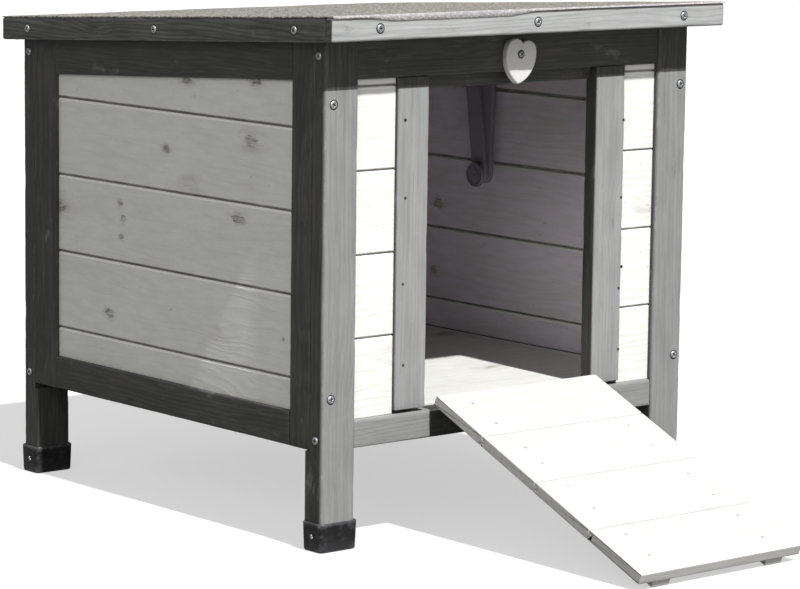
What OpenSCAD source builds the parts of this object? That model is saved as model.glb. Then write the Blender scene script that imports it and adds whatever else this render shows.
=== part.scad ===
// Raised outdoor cat house of painted softwood on four capped legs.
// A single-pitch felted roof lifts on two hinges at the back and is held by a folding stay.
// The front door folds down on two hinges into a ramp, and a heart-shaped turn button keeps it shut.
// House frame: x runs across the front, y from the front legs' faces to the back, z up from the ground.

/* [House] */
// Width over the legs
house_w = 415; // [340:1:600]
// Depth over the legs
house_d = 441; // [380:1:600]
// Height of the front wall's top edge, at the face of the front legs
wall_h = 436.7; // [390:0.1:520]
// Slope of the roof, falling towards the back, in degrees
roof_slope = 3.16; // [1:0.01:5]
// Height of the panels' lower edge above the ground
panel_z = 85; // [60:1:100]

/* [Legs] */
// Leg section across the house
leg_w = 36; // [28:0.5:50]
// Leg section along the house
leg_d = 22; // [18:0.5:35]
// Radius of the legs' rounded corners
leg_r = 3.5; // [1:0.5:6]
// How deep a side panel is let into each leg
leg_seat = 5; // [2:0.5:8]

/* [Foot caps] */
// Height of the plastic cap on each leg
cap_h = 25; // [15:1:40]
// Thickness of the cap's side wall
cap_wall = 2.4; // [1.5:0.1:4]
// Thickness of the cap's base under the leg
cap_base = 3; // [2:0.5:6]
// Clearance between the leg and the cap's wall
cap_fit = 0.1; // [0:0.05:0.3]

/* [Wall panels] */
// Thickness of the stiles and rails
frame_t = 18; // [16:0.5:22]
// Width of the side panels' front stile that shows
front_stile_w = 27; // [20:0.5:50]
// Width of the side panels' rear stile that shows
rear_stile_w = 35; // [20:0.5:60]
// Width of the back panel's two stiles
back_stile_w = 30; // [20:0.5:50]
// Height of the panels' bottom rails
rail_h = 29.5; // [20:0.5:40]
// Height of the panels' top rails
top_rail_h = 43.3; // [30:0.1:55]
// Depth of the groove that holds the boards
groove_depth = 7; // [4:0.5:10]
// How far the back panel and the front rails stand behind the legs' faces
rail_set = 2; // [0:0.5:5]

/* [Boards] */
// Thickness of the tongued boards
board_t = 9.5; // [8:0.5:11]
// Distance from the front wall's top edge down to the highest board joint
top_joint_drop = 85.7; // [70:0.1:110]
// Height of the part of the lowest board that shows in the side and back walls
first_board_h = 26.5; // [12:0.5:35]
// How far the boards lie behind the outer face of their frame
board_recess = 4; // [2:0.5:5]
// Length of a board's tongue
tongue_l = 4; // [2:0.5:5]
// Thickness of a board's tongue
tongue_t = 3; // [2:0.1:4]
// Clearance on each side of a tongue in its groove
tongue_fit = 0.15; // [0.05:0.05:0.4]
// Bevel along the edges of a board's faces
board_bevel = 1.2; // [0.4:0.1:2]
// Open gap between two boards
board_gap = 0.5; // [0.2:0.1:1.5]

/* [Front] */
// Height of the lintel at its front face
lintel_h = 44.2; // [40:0.1:70]
// Height of the front bottom rail
front_rail_h = 24; // [20:0.5:32]
// Height of the lowest board in the front wall
front_board_h = 67; // [50:1:75]
// How far the front boards lie behind the legs' faces
front_recess = 5.5; // [3:0.5:8]
// Width of the door trims
trim_w = 34; // [24:0.5:40]
// Thickness of the door trims
trim_t = 15; // [12:0.5:16]
// Gap under the door trims
trim_gap = 3; // [1:0.5:6]
// Width of the doorway between the trims
doorway_w = 192.7; // [160:0.1:200]
// How far the doorway lies to the right of the house's middle
doorway_x = 2.5; // [-6:0.5:6]
// How far the door stop reaches below the lintel
stop_h = 11; // [6:0.5:20]

/* [Floor] */
// Height of the floor's upper face above the panels' lower edge
floor_rise = 26; // [20:0.5:35]
// Thickness of the floor
floor_t = 9.5; // [6:0.5:12]
// Width of the ledgers under the floor
ledger_w = 16; // [10:1:25]

/* [Roof] */
// Overhang of the roof at the front
eave_front = 28; // [12:0.5:50]
// Gap between the rear fascia and the legs
rear_gap = 0.5; // [0.4:0.1:3]
// Overhang of the roof at each side
eave_side = 15.7; // [12:0.1:40]
// Height of the fascia boards
fascia_h = 20; // [16:0.5:30]
// Thickness of the fascia boards
fascia_t = 9.5; // [8:0.5:11]
// Thickness of the roof board
deck_t = 8; // [6:0.5:12]
// Thickness of the roofing felt
felt_t = 1.6; // [1:0.1:3]
// Bedding gap between the roof board and the felt
felt_gap = 0.05; // [0.02:0.01:0.3]
// How far the felt hangs over the front fascia
felt_lip = 4; // [2:0.5:10]
// Gap between the closed roof and the walls
roof_gap = 0.4; // [0.3:0.1:2]
// Width of the battens under the roof board
roof_batten_w = 28; // [16:1:40]
// Thickness of the battens under the roof board
roof_batten_t = 14; // [8:0.5:18]
// Distance of each roof batten from the wall in front or behind it
roof_batten_inset = 45; // [35:1:80]
// Distance of the roof battens' ends from the side walls
roof_batten_clear = 30; // [20:1:60]

/* [Door] */
// Gap between the shut door's free end and the lintel
door_top_gap = 4.5; // [3:0.5:6]
// Thickness of the door boards
door_t = 9.2; // [8:0.1:9.5]
// Side clearance of the door in its doorway
door_fit = 4; // [2:0.5:8]
// How much narrower than the others the door board next to the hinges is cut
door_first_cut = 6.5; // [0:0.5:15]
// How much narrower than the others the door board at the free end is cut
door_last_cut = 4.5; // [0:0.5:15]
// Width of the door's two battens
batten_w = 19; // [12:0.5:30]
// Thickness of the door's two battens
batten_t = 6.5; // [4:0.5:10]
// Distance of each batten from the door's side
batten_inset = 18; // [10:0.5:30]
// Distance of the battens from the door's free end
batten_end = 1; // [0.5:0.5:10]
// Distance of the battens from the door's hinged end
batten_start = 21; // [21:0.5:40]

/* [Hinges] */
// Length of a hinge along its pin
hinge_w = 34; // [25:1:45]
// Thickness of a hinge leaf
leaf_t = 1.2; // [0.8:0.1:1.6]
// Outer radius of a hinge knuckle
knuckle_r = 2.6; // [2.4:0.1:2.8]
// Radius of a hinge pin
pin_r = 1.25; // [1:0.05:1.5]
// Radial clearance of a hinge pin
pin_fit = 0.06; // [0.03:0.01:0.1]
// How much each end of a knuckle is cut back
knuckle_gap = 0.2; // [0.1:0.05:0.4]
// Distance from a hinge pin's middle to the wood
hinge_set = 3.4; // [3.2:0.1:4]
// Height of a leaf on the wood
leaf_l = 20; // [15:1:22]
// Distance of the door hinges' middles from the door's sides
door_hinge_inset = 55; // [40:1:70]
// Distance of the roof hinges' middles from the legs
roof_hinge_inset = 60; // [50:1:90]
// Height of the door hinges' pins above the front rail
door_pin_rise = 2.5; // [2:0.1:3.5]
// Gap between the shut door's lower edge and the height of its pins
door_edge_gap = 1.5; // [1:0.1:3]

/* [Turn button] */
// Distance of the middle of each of the heart's lobes from the heart's middle line
lobe_x = 7; // [6:0.1:8]
// Radius of the heart's lobes
lobe_r = 9.6; // [8.6:0.1:11]
// Radius of the heart's bulging sides
side_r = 27; // [24:0.5:60]
// Radius of the heart's blunt tip
tip_r = 3.5; // [1:0.1:4]
// Distance from the screw to the heart's tip
heart_tip = 25.2; // [20:0.1:27]
// Distance from the screw to the top of the heart's lobes
heart_top = 12.9; // [9:0.1:15]
// Distance of the screw from the heart's middle line
button_off = 1.4; // [0:0.1:2]
// How far the heart is turned clockwise from upright, in degrees
button_turn = 8.3; // [0:0.1:15]
// Thickness of the heart
heart_t = 6; // [4:0.5:8]
// Height of the heart's screw above the lintel's lower edge
button_rise = 15.1; // [13.5:0.1:18]

/* [Stay] */
// Distance of the wall pivot in front of the legs' back face
stay_back = 207.3; // [180:0.1:225]
// Distance between the wall pivot and the roof pivot
stay_pitch = 20.6; // [12:0.1:26]
// How far both pivots lie below the wall's top edge
stay_drop = 28; // [24:0.5:32]
// Length of each arm between its pivots
arm_l = 123.2; // [115:0.2:160]
// Width of the arms, which have round ends
arm_w = 18; // [14:0.5:22]
// Thickness of each arm
arm_t = 5.2; // [4:0.1:9]
// Distance between the wall and the outer arm
arm_spacer = 9; // [4:0.1:12]
// Running gap between moving faces of the stay
stay_gap = 0.4; // [0.3:0.1:1]
// Radius of the elbow bolt and of the wall screw's plain part
bolt_r = 3; // [2:0.1:4]
// Radius of the elbow bolt's head, of the spacer and of the wall screw's sunk head
bolt_head_r = 6; // [4.5:0.1:7]
// Height of the elbow bolt's head
bolt_head_h = 1.2; // [0.8:0.1:1.3]
// How far the wall screw's head is sunk into the outer arm
screw_sink = 2.2; // [1.5:0.1:3]
// Radial clearance of the arms on their bolts
bolt_fit = 0.08; // [0.03:0.01:0.1]
// Radius of the clamping knob
knob_r = 11.8; // [9:0.1:14]
// Thickness of the clamping knob
knob_t = 4; // [3:0.1:8]
// Width of the bevel around the clamping knob
knob_bevel = 1.1; // [0.5:0.1:2]
// Radius of the washer under the clamping knob
washer_r = 9; // [6:0.1:12]
// Thickness of a washer
washer_t = 1.2; // [0.8:0.1:2]
// Radius of the rivet stub on the roof bracket
rivet_r = 4.8; // [3:0.1:6]
// Thickness of the roof bracket's metal
bracket_t = 2; // [1.5:0.1:3]
// Width of the roof bracket's foot across the house
bracket_foot_w = 16.2; // [12:0.1:24]

/* [Screws] */
// Radius of a screw's head
screw_head_r = 3.5; // [2.5:0.1:4.5]
// Height of a screw's head
screw_head_h = 1.4; // [1:0.1:2.5]
// Radius of the turn button's screw head
button_head_r = 2.7; // [2.2:0.1:4]
// Radius of a screw's shank
screw_r = 1.6; // [1:0.1:2]
// Length of a screw's shank
screw_l = 8; // [5:0.5:9]
// Radial clearance of a screw's shank in its hole
screw_fit = 0.05; // [0:0.01:0.1]
// Distance of the leg screws from the legs' edges
screw_inset = 9; // [6:0.5:12]
// Height of the lower side screws above the panels' lower edge
side_screw_rise = 9; // [6:0.5:20]
// Distance of the upper side screws below the walls' top edge
side_screw_drop = 23; // [12:0.5:40]
// Height of the lower front screws above the panels' lower edge
front_screw_rise = 44; // [20:1:80]
// Distance of the upper front screws below the lintel's lower edge
front_screw_drop = 19; // [5:1:60]
// Distance of the outer fascia screws from the ends of a fascia
fascia_screw_inset = 50; // [25:1:70]

/* [Hidden] */
$fn = 48;
far = 1000;
cut = 1;

half_w = house_w / 2;
tan_slope = tan(roof_slope);
rail_top = panel_z + rail_h;
front_rail_top = panel_z + front_rail_h;
side_open_front = leg_d - leg_seat;
side_open_rear = house_d - leg_d + leg_seat;
field_front = side_open_front + front_stile_w;
field_rear = side_open_rear - rear_stile_w;
back_face = house_d - rail_set;
first_joint = rail_top + first_board_h;
board_pitch = (wall_h - top_joint_drop - first_joint) / 3;
front_joint = front_rail_top + front_board_h;
back_joint_count = 4;
front_joint_count = 4;
lintel_z = wall_h - lintel_h;
floor_top = panel_z + floor_rise;

door_left = doorway_x - doorway_w / 2;
door_right = doorway_x + doorway_w / 2;
door_w = doorway_w - 2 * door_fit;
door_pin_y = rail_set - hinge_set;
door_pin_z = front_rail_top + door_pin_rise;
door_l = lintel_z - door_top_gap - door_pin_z - door_edge_gap;
door_board_count = 4;
door_pitch = (door_l + door_first_cut + door_last_cut) / door_board_count;

// The door's free end rests on the ground, which sets the slope of the ramp.
batten_face = hinge_set - batten_t;
ramp_reach = door_edge_gap + door_l - batten_end;
ramp_angle = atan2(batten_face, ramp_reach) + asin(door_pin_z / norm([batten_face, ramp_reach]));
ramp_front = door_pin_y - (door_edge_gap + door_l) * cos(ramp_angle)
    - (hinge_set + door_t) * sin(ramp_angle);

roof_front = -eave_front;
roof_rear = house_d + rear_gap + fascia_t;
deck_edge_x = half_w + eave_side - fascia_t;
fascia_rear_z = deck_top(roof_rear) - fascia_h;
fascia_front_z = deck_top(roof_front) - fascia_h;
leaf_start = knuckle_r + 2 * knuckle_gap;
roof_pin_y = back_face + hinge_set;
roof_pin_z = fascia_rear_z - hinge_set;

button_x = doorway_x;
button_z = lintel_z + button_rise;
button_gap = 0.3;

stay_wall_x = half_w - frame_t;
arm_outer_x = stay_wall_x - arm_spacer;
arm_inner_x = arm_outer_x - arm_t - stay_gap;
knob_x = arm_inner_x - arm_t - stay_gap;
stay_y = house_d - stay_back;
wall_pivot = [stay_y, wall_z(stay_y) - stay_drop];
roof_pivot = [stay_y + stay_pitch, wall_z(stay_y + stay_pitch) - stay_drop];
elbow = elbow_of(wall_pivot, roof_pivot);

// Places the middle of the whole footprint, with the ramp down, over the origin.
frame_y = -(ramp_front + roof_rear) / 2;

// Height of the walls' top edge at depth y.
function wall_z(y) = wall_h - y * tan_slope;
// Height of the roof board's underside at depth y.
function deck_under(y) = wall_z(y) + roof_gap;
// Height of the roof board's upper face at depth y.
function deck_top(y) = deck_under(y) + deck_t;
// Height of the felt's underside at depth y.
function felt_under(y) = deck_top(y) + felt_gap;
// Lower edge of a side panel's top rail at depth y.
function top_rail_z(y) = wall_z(y) - top_rail_h;
// The lower meeting point of two equal arms hung from two pivots.
function elbow_of(a, b) = (a + b) / 2 - sqrt(pow(arm_l, 2) - pow(norm(b - a) / 2, 2)) * arm_normal(a, b);
// Unit vector square to the line between the pivots, pointing up or to the front.
function arm_normal(a, b) = [-(b - a)[1], (b - a)[0]] / norm(b - a);
// Points of an arc from angle a0 to a1.
function arc_points(c, r, a0, a1, n) = [
    for (i = [0:n]) c + r * [cos(a0 + (a1 - a0) * i / n), sin(a0 + (a1 - a0) * i / n)]
];

paint_grey = "#4a4b49";
paint_white = "#e6e4df";
felt_sand = "#a19c90";
cap_black = "#1d1d1e";
zinc = "#b4b6b8";
stay_dark = "#2f2a2e";

// Moves the house frame onto the part's own origin.
module place() {
    translate([0, frame_y, 0])
        children();
}

// Extrudes an outline drawn in the y-z plane between two places along x.
module along_x(x0, x1) {
    translate([x0, 0, 0])
        rotate([90, 0, 90])
            linear_extrude(height = x1 - x0)
                children();
}

// Extrudes an outline drawn in the x-z plane between two places along y.
module along_y(y0, y1) {
    translate([0, y1, 0])
        rotate([90, 0, 0])
            linear_extrude(height = y1 - y0)
                children();
}

// Rectangle with round corners, centred on the origin.
module round_rect(w, d, r) {
    square([w - 2 * r, d], center = true);
    square([w, d - 2 * r], center = true);
    for (x = [-1, 1], y = [-1, 1])
        translate([x * (w / 2 - r), y * (d / 2 - r)])
            circle(r);
}

// Mirrors its children to the right side of the house when asked.
module on_side(right) {
    mirror([right ? 1 : 0, 0, 0])
        children();
}

// Outline in the y-z plane from depth y0 to y1, with its top at the wall's sloping edge.
module wall_outline(y0, y1, z0) {
    polygon([[y0, z0], [y1, z0], [y1, wall_z(y1)], [y0, wall_z(y0)]]);
}

// Cross-section of a tongued board from a to b, drawn with its thickness along x.
module board_section(t, a, b, has_groove, has_tongue) {
    g = board_gap / 2;
    c = board_bevel;
    mid = t / 2;
    tw = tongue_t / 2;
    gw = tw + tongue_fit;
    low = has_groove ? a + g : a;
    high = has_tongue ? b - g : b;
    groove = [[mid - gw, low], [mid - gw, low + tongue_l], [mid + gw, low + tongue_l], [mid + gw, low]];
    tongue = [[mid + tw, high], [mid + tw, high + tongue_l], [mid - tw, high + tongue_l], [mid - tw, high]];
    lower = concat([[0, low + c], [c, low]], groove, [[t - c, low], [t, low + c]]);
    upper = concat([[t, high - c], [t - c, high]], tongue, [[c, high], [0, high - c]]);
    polygon(concat(
        has_groove ? lower : [[0, low], [t, low]],
        has_tongue ? upper : [[t, high], [0, high]]
    ));
}

// Half of the outline of a screw's domed head of radius r, from its rim to its top.
dome_steps = 4;
function dome(r) = [
    for (a = [0:90 / dome_steps:90]) [r * cos(a), screw_head_h * sin(a)]
];

// Screw along +z, with its head's underside at the origin and its shank below.
module screw() {
    rotate_extrude()
        polygon(concat([[0, -screw_l], [screw_r, -screw_l + screw_r], [screw_r, 0]], dome(screw_head_r)));
}

// Hole for the shank of a screw placed the same way.
module screw_hole() {
    translate([0, 0, -screw_l - cut])
        cylinder(r = screw_r + screw_fit, h = screw_l + 2 * cut);
}

// Places children at the two screws in the outer side of each leg that are listed by side.
module at_side_screws(sx, sy) {
    y = sy < 0 ? screw_inset : house_d - screw_inset;
    for (z = [panel_z + side_screw_rise, wall_z(y) - side_screw_drop])
        translate([sx * half_w, y, z])
            rotate([0, sx * 90, 0])
                children();
}

// Places children at the two screws in the front or back face of each leg.
module at_face_screws(sx, sy) {
    for (z = [panel_z + front_screw_rise, lintel_z - front_screw_drop])
        translate([sx * (half_w - screw_inset), sy < 0 ? 0 : house_d, z])
            rotate([sy < 0 ? 90 : -90, 0, 0])
                children();
}

// Leg at one corner; sx is -1 on the left and sy is -1 at the front.
module leg(sx, sy) {
    x_mid = sx * (half_w - leg_w / 2);
    y_mid = sy < 0 ? leg_d / 2 : house_d - leg_d / 2;
    seat_y = sy < 0 ? leg_d - leg_seat : house_d - leg_d - cut;
    place()
        color(paint_grey)
            difference() {
                intersection() {
                    translate([x_mid, y_mid, 0])
                        linear_extrude(height = far)
                            round_rect(leg_w, leg_d, leg_r);
                    along_x(-far, far)
                        wall_outline(y_mid - leg_d, y_mid + leg_d, cap_base);
                }
                translate([sx < 0 ? -half_w - cut : half_w - frame_t, seat_y, panel_z])
                    cube([frame_t + cut, leg_seat + cut, far]);
                at_side_screws(sx, sy)
                    screw_hole();
                at_face_screws(sx, sy)
                    screw_hole();
            }
}

// Cap pushed onto a leg, wider at its mouth than at its base.
module foot_cap() {
    w = leg_w + 2 * (cap_fit + cap_wall);
    d = leg_d + 2 * (cap_fit + cap_wall);
    r = leg_r + cap_fit + cap_wall;
    foot_edge = cap_base / 2;
    difference() {
        union() {
            linear_extrude(height = cap_h)
                round_rect(w - cap_wall / 2, d - cap_wall / 2, r - cap_wall / 4);
            translate([0, 0, foot_edge])
                linear_extrude(height = cap_h - foot_edge)
                    round_rect(w, d, r);
        }
        translate([0, 0, cap_base])
            linear_extrude(height = cap_h)
                round_rect(leg_w + 2 * cap_fit, leg_d + 2 * cap_fit, leg_r + cap_fit);
    }
}

module foot_caps() {
    place()
        color(cap_black)
            for (sx = [-1, 1], y = [leg_d / 2, house_d - leg_d / 2])
                translate([sx * (half_w - leg_w / 2), y, 0])
                    foot_cap();
}

// Frame member of a wall with a groove for the boards: two faces over a narrower core.
// The first child is the outline of the faces and the second is the outline of the core.
module grooved_along_x(outer_x) {
    along_x(outer_x, outer_x + board_recess)
        children(0);
    along_x(outer_x + board_recess, outer_x + board_recess + board_t)
        children(1);
    along_x(outer_x + board_recess + board_t, outer_x + frame_t)
        children(0);
}

// The same for the back wall, whose outer face looks along +y.
module grooved_along_y() {
    along_y(back_face - board_recess, back_face)
        children(0);
    along_y(back_face - board_recess - board_t, back_face - board_recess)
        children(1);
    along_y(back_face - frame_t, back_face - board_recess - board_t)
        children(0);
}

module side_front_stile(right) {
    place()
        color(paint_grey)
            on_side(right)
                grooved_along_x(-half_w) {
                    wall_outline(side_open_front, field_front, panel_z);
                    wall_outline(side_open_front, field_front - groove_depth, panel_z);
                }
}

module side_rear_stile(right) {
    place()
        color(paint_grey)
            on_side(right)
                grooved_along_x(-half_w) {
                    wall_outline(field_rear, side_open_rear, panel_z);
                    wall_outline(field_rear + groove_depth, side_open_rear, panel_z);
                }
}

// Outline of a side panel's top rail; the core's lower edge is raised by the groove and its
// ends are longer by the stub tenons that fill the stiles' grooves.
module top_rail_outline(groove) {
    y0 = field_front - groove;
    y1 = field_rear + groove;
    polygon([
        [y0, top_rail_z(y0) + groove], [y1, top_rail_z(y1) + groove],
        [y1, wall_z(y1)], [y0, wall_z(y0)]
    ]);
}

module side_top_rail(right) {
    place()
        color(paint_grey)
            difference() {
                on_side(right)
                    grooved_along_x(-half_w) {
                        top_rail_outline(0);
                        top_rail_outline(groove_depth);
                    }
                if (right)
                    translate([stay_wall_x, wall_pivot[0], wall_pivot[1]])
                        rotate([0, -90, 0])
                            screw_hole();
            }
}

// Outline of a side panel's bottom rail, with the same stub tenons on its core.
module bottom_rail_outline(groove) {
    translate([field_front - groove, panel_z])
        square([field_rear - field_front + 2 * groove, rail_h - groove]);
}

module side_bottom_rail(right) {
    place()
        color(paint_grey)
            on_side(right)
                grooved_along_x(-half_w) {
                    bottom_rail_outline(0);
                    bottom_rail_outline(groove_depth);
                }
}

// One of the five boards of a side wall, counted from the bottom; the top one is cut to the slope.
module side_board(i, right) {
    low = i == 1 ? rail_top - groove_depth : first_joint + (i - 2) * board_pitch;
    high = i == 5 ? far : first_joint + (i - 1) * board_pitch;
    y0 = field_front - groove_depth;
    y1 = field_rear + groove_depth;
    place()
        color(paint_white)
            on_side(right)
                intersection() {
                    translate([-half_w + board_recess, 0, 0])
                        along_y(y0, y1)
                            board_section(board_t, low, high, i > 1, i < 5);
                    along_x(-half_w, 0)
                        polygon([
                            [y0, 0], [y1, 0],
                            [y1, top_rail_z(y1) + groove_depth], [y0, top_rail_z(y0) + groove_depth]
                        ]);
                }
}

// Height of the lower edge of the back top rail.
back_top_rail_z = wall_z(back_face) - top_rail_h;
back_field_x = half_w - leg_w - back_stile_w;

module back_stile_outline(groove) {
    polygon([
        [back_field_x + groove, panel_z], [half_w - leg_w, panel_z],
        [half_w - leg_w, wall_z(back_face)], [back_field_x + groove, wall_z(back_face)]
    ]);
}

module back_stiles() {
    place()
        color(paint_grey)
            for (right = [false, true])
                on_side(right)
                    grooved_along_y() {
                        back_stile_outline(0);
                        back_stile_outline(groove_depth);
                    }
}

// Outline of a back rail, with the core cut back by a groove below or above.
module back_rail_outline(bottom, below, above) {
    x = back_field_x + below + above;
    high = bottom == panel_z ? rail_top : wall_z(back_face);
    translate([-x, bottom + below])
        square([2 * x, high - bottom - below - above]);
}

module back_top_rail() {
    place()
        color(paint_grey)
            grooved_along_y() {
                back_rail_outline(back_top_rail_z, 0, 0);
                back_rail_outline(back_top_rail_z, groove_depth, 0);
            }
}

module back_bottom_rail() {
    place()
        color(paint_grey)
            grooved_along_y() {
                back_rail_outline(panel_z, 0, 0);
                back_rail_outline(panel_z, 0, groove_depth);
            }
}

// Row of boards stacked between two heights, with the joints at a steady pitch above the first.
module board_stack(x0, x1, t, bottom, top, joint, joints) {
    for (i = [0:joints]) {
        low = i == 0 ? bottom : joint + (i - 1) * board_pitch;
        high = i == joints ? top : min(joint + i * board_pitch, top);
        if (low < top - board_bevel * 3)
            along_x(x0, x1)
                board_section(t, low, high, i > 0, i < joints && high < top);
    }
}

module back_boards() {
    place()
        color(paint_white)
            translate([0, back_face - board_recess - board_t, 0])
                board_stack(
                    -back_field_x - groove_depth, back_field_x + groove_depth, board_t,
                    rail_top - groove_depth, back_top_rail_z + groove_depth, first_joint, back_joint_count
                );
}

module lintel() {
    x = half_w - leg_w;
    place()
        color(paint_grey)
            difference() {
                along_x(-x, x)
                    wall_outline(rail_set, rail_set + frame_t, lintel_z);
                translate([button_x, rail_set, button_z])
                    rotate([90, 0, 0])
                        screw_hole();
            }
}

module front_bottom_rail() {
    x = half_w - leg_w;
    place()
        color(paint_grey)
            translate([-x, rail_set, panel_z])
                cube([2 * x, frame_t, front_rail_h]);
}

// The two upright trims at the sides of the doorway.
module door_trims() {
    z = front_rail_top + trim_gap;
    place()
        color(paint_grey)
            for (x = [door_left - trim_w, door_right])
                translate([x, rail_set, z])
                    cube([trim_w, trim_t, lintel_z - z]);
}

// Strip behind the shut door's top edge.
module door_stop() {
    y = rail_set + door_t + button_gap;
    place()
        color(paint_grey)
            translate([door_left, y, lintel_z - stop_h])
                cube([doorway_w, rail_set + frame_t - y, stop_h]);
}

module front_boards() {
    x_leg = half_w - leg_w;
    place()
        color(paint_white)
            translate([0, front_recess, 0]) {
                board_stack(
                    -x_leg, door_left - trim_w, board_t,
                    front_rail_top, lintel_z, front_joint, front_joint_count
                );
                board_stack(
                    door_right + trim_w, x_leg, board_t,
                    front_rail_top, lintel_z, front_joint, front_joint_count
                );
            }
}

module floor_panel() {
    y0 = rail_set + frame_t;
    y1 = back_face - frame_t;
    y_leg = max(leg_d, y0);
    x_leg = half_w - leg_w;
    x_wall = half_w - frame_t;
    place()
        color(paint_white)
            translate([0, 0, floor_top - floor_t])
                linear_extrude(height = floor_t) {
                    translate([-x_leg, y0])
                        square([2 * x_leg, y1 - y0]);
                    translate([-x_wall, y_leg])
                        square([2 * x_wall, house_d - 2 * y_leg]);
                }
}

// Strips along the side panels that carry the floor.
module floor_ledgers() {
    place()
        color(paint_grey)
            for (right = [false, true])
                on_side(right)
                    translate([-half_w + frame_t, leg_d, panel_z])
                        cube([ledger_w, house_d - 2 * leg_d, floor_top - floor_t - panel_z]);
}

module frame_screws() {
    place()
        color(zinc)
            for (sx = [-1, 1], sy = [-1, 1]) {
                at_side_screws(sx, sy)
                    screw();
                at_face_screws(sx, sy)
                    screw();
            }
}

// Outline of a piece in the roof's plane, between two depths and two heights above the board's underside.
module roof_outline(y0, y1, rise0, rise1) {
    polygon([
        [y0, deck_under(y0) + rise0], [y1, deck_under(y1) + rise0],
        [y1, deck_under(y1) + rise1], [y0, deck_under(y0) + rise1]
    ]);
}

module roof_board() {
    place()
        color(paint_grey)
            along_x(-deck_edge_x, deck_edge_x)
                roof_outline(roof_front + fascia_t, roof_rear - fascia_t, 0, deck_t);
}

module roof_felt() {
    x = half_w + eave_side;
    front_y = roof_front - felt_gap;
    lip_y = front_y - felt_t;
    lip_z = felt_under(roof_front) - felt_lip;
    place()
        color(felt_sand)
            along_x(-x, x)
                polygon([
                    [front_y, felt_under(roof_front)], [roof_rear, felt_under(roof_rear)],
                    [roof_rear, felt_under(roof_rear) + felt_t], [lip_y, felt_under(roof_front) + felt_t],
                    [lip_y, lip_z], [front_y, lip_z]
                ]);
}

// Places children at the three screws of a fascia that runs from -x to x.
module at_fascia_screws(x) {
    for (i = [-1, 0, 1])
        translate([i * (x - fascia_screw_inset), 0, 0])
            children();
}

module at_front_fascia_screws() {
    translate([0, roof_front, fascia_front_z + fascia_h / 2])
        at_fascia_screws(half_w + eave_side)
            rotate([90, 0, 0])
                children();
}

module at_rear_fascia_screws() {
    translate([0, roof_rear, fascia_rear_z + fascia_h / 2])
        at_fascia_screws(half_w + eave_side - fascia_t)
            rotate([-90, 0, 0])
                children();
}

module at_side_fascia_screws(sx) {
    y_mid = (roof_front + fascia_t + roof_rear) / 2;
    y_half = (roof_rear - roof_front - fascia_t) / 2 - fascia_screw_inset + fascia_t;
    for (y = [y_mid - y_half, y_mid, y_mid + y_half])
        translate([sx * (half_w + eave_side), y, deck_top(y) - fascia_h / 2])
            rotate([0, sx * 90, 0])
                children();
}

// Cross-section of the front or rear fascia, level below and flush with the roof board above.
module fascia_outline(y0, y1, low) {
    polygon([[y0, low], [y1, low], [y1, deck_top(y1)], [y0, deck_top(y0)]]);
}

module front_fascia() {
    x = half_w + eave_side;
    place()
        color(paint_grey)
            difference() {
                along_x(-x, x)
                    fascia_outline(roof_front, roof_front + fascia_t, fascia_front_z);
                at_front_fascia_screws()
                    screw_hole();
            }
}

module rear_fascia() {
    place()
        color(paint_grey)
            difference() {
                along_x(-deck_edge_x, deck_edge_x)
                    fascia_outline(roof_rear - fascia_t, roof_rear, fascia_rear_z);
                at_rear_fascia_screws()
                    screw_hole();
            }
}

module side_fascia(sx) {
    place()
        color(paint_grey)
            difference() {
                on_side(sx > 0)
                    along_x(-half_w - eave_side, -deck_edge_x)
                        roof_outline(roof_front + fascia_t, roof_rear, deck_t - fascia_h, deck_t);
                at_side_fascia_screws(sx)
                    screw_hole();
            }
}

// Two battens under the roof board that keep it flat.
module roof_battens() {
    x = half_w - frame_t - roof_batten_clear;
    y_front = rail_set + frame_t + roof_batten_inset;
    y_rear = back_face - frame_t - roof_batten_inset - roof_batten_w;
    place()
        color(paint_grey)
            for (y = [y_front, y_rear])
                along_x(-x, x)
                    roof_outline(y, y + roof_batten_w, -roof_batten_t, 0);
}

module fascia_screws() {
    place()
        color(zinc) {
            at_front_fascia_screws()
                screw();
            at_rear_fascia_screws()
                screw();
            for (sx = [-1, 1])
                at_side_fascia_screws(sx)
                    screw();
        }
}

// Knuckles of one hinge leaf along x, round the pin; the middle knuckle belongs to the other leaf.
module knuckles(middle) {
    third = hinge_w / 3;
    for (i = middle ? [0] : [-1, 1])
        difference() {
            union() {
                translate([i * third - third / 2 + knuckle_gap, 0, 0])
                    rotate([0, 90, 0])
                        cylinder(r = knuckle_r, h = third - 2 * knuckle_gap);
                translate([i * third - third / 2 + knuckle_gap, -leaf_start - cut, hinge_set - leaf_t])
                    cube([third - 2 * knuckle_gap, leaf_start + cut, leaf_t]);
            }
            translate([-hinge_w, 0, 0])
                rotate([0, 90, 0])
                    cylinder(r = pin_r + pin_fit, h = 2 * hinge_w);
        }
}

// Hinge leaf that lies along -y from the pin, with its wood face at height hinge_set.
module hinge_leaf(length, middle) {
    knuckles(middle);
    translate([-hinge_w / 2, -length, hinge_set - leaf_t])
        cube([hinge_w, length - leaf_start, leaf_t]);
}

module hinge_pin() {
    translate([-hinge_w / 2, 0, 0])
        rotate([0, 90, 0])
            cylinder(r = pin_r, h = hinge_w);
}

module at_door_hinges() {
    for (sx = [-1, 1])
        translate([doorway_x + sx * (door_w / 2 - door_hinge_inset), door_pin_y, door_pin_z])
            children();
}

// Leaves on the front of the bottom rail, with the pins.
module door_hinge_rail_leaves() {
    place()
        color(zinc)
            at_door_hinges() {
                rotate([90, 0, 0])
                    mirror([0, 0, 1])
                        hinge_leaf(leaf_l, false);
                hinge_pin();
            }
}

// Leaves on the outer face of the door.
module door_hinge_door_leaves() {
    place()
        color(zinc)
            at_door_hinges()
                rotate([ramp_angle, 0, 0])
                    hinge_leaf(leaf_l, true);
}

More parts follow.
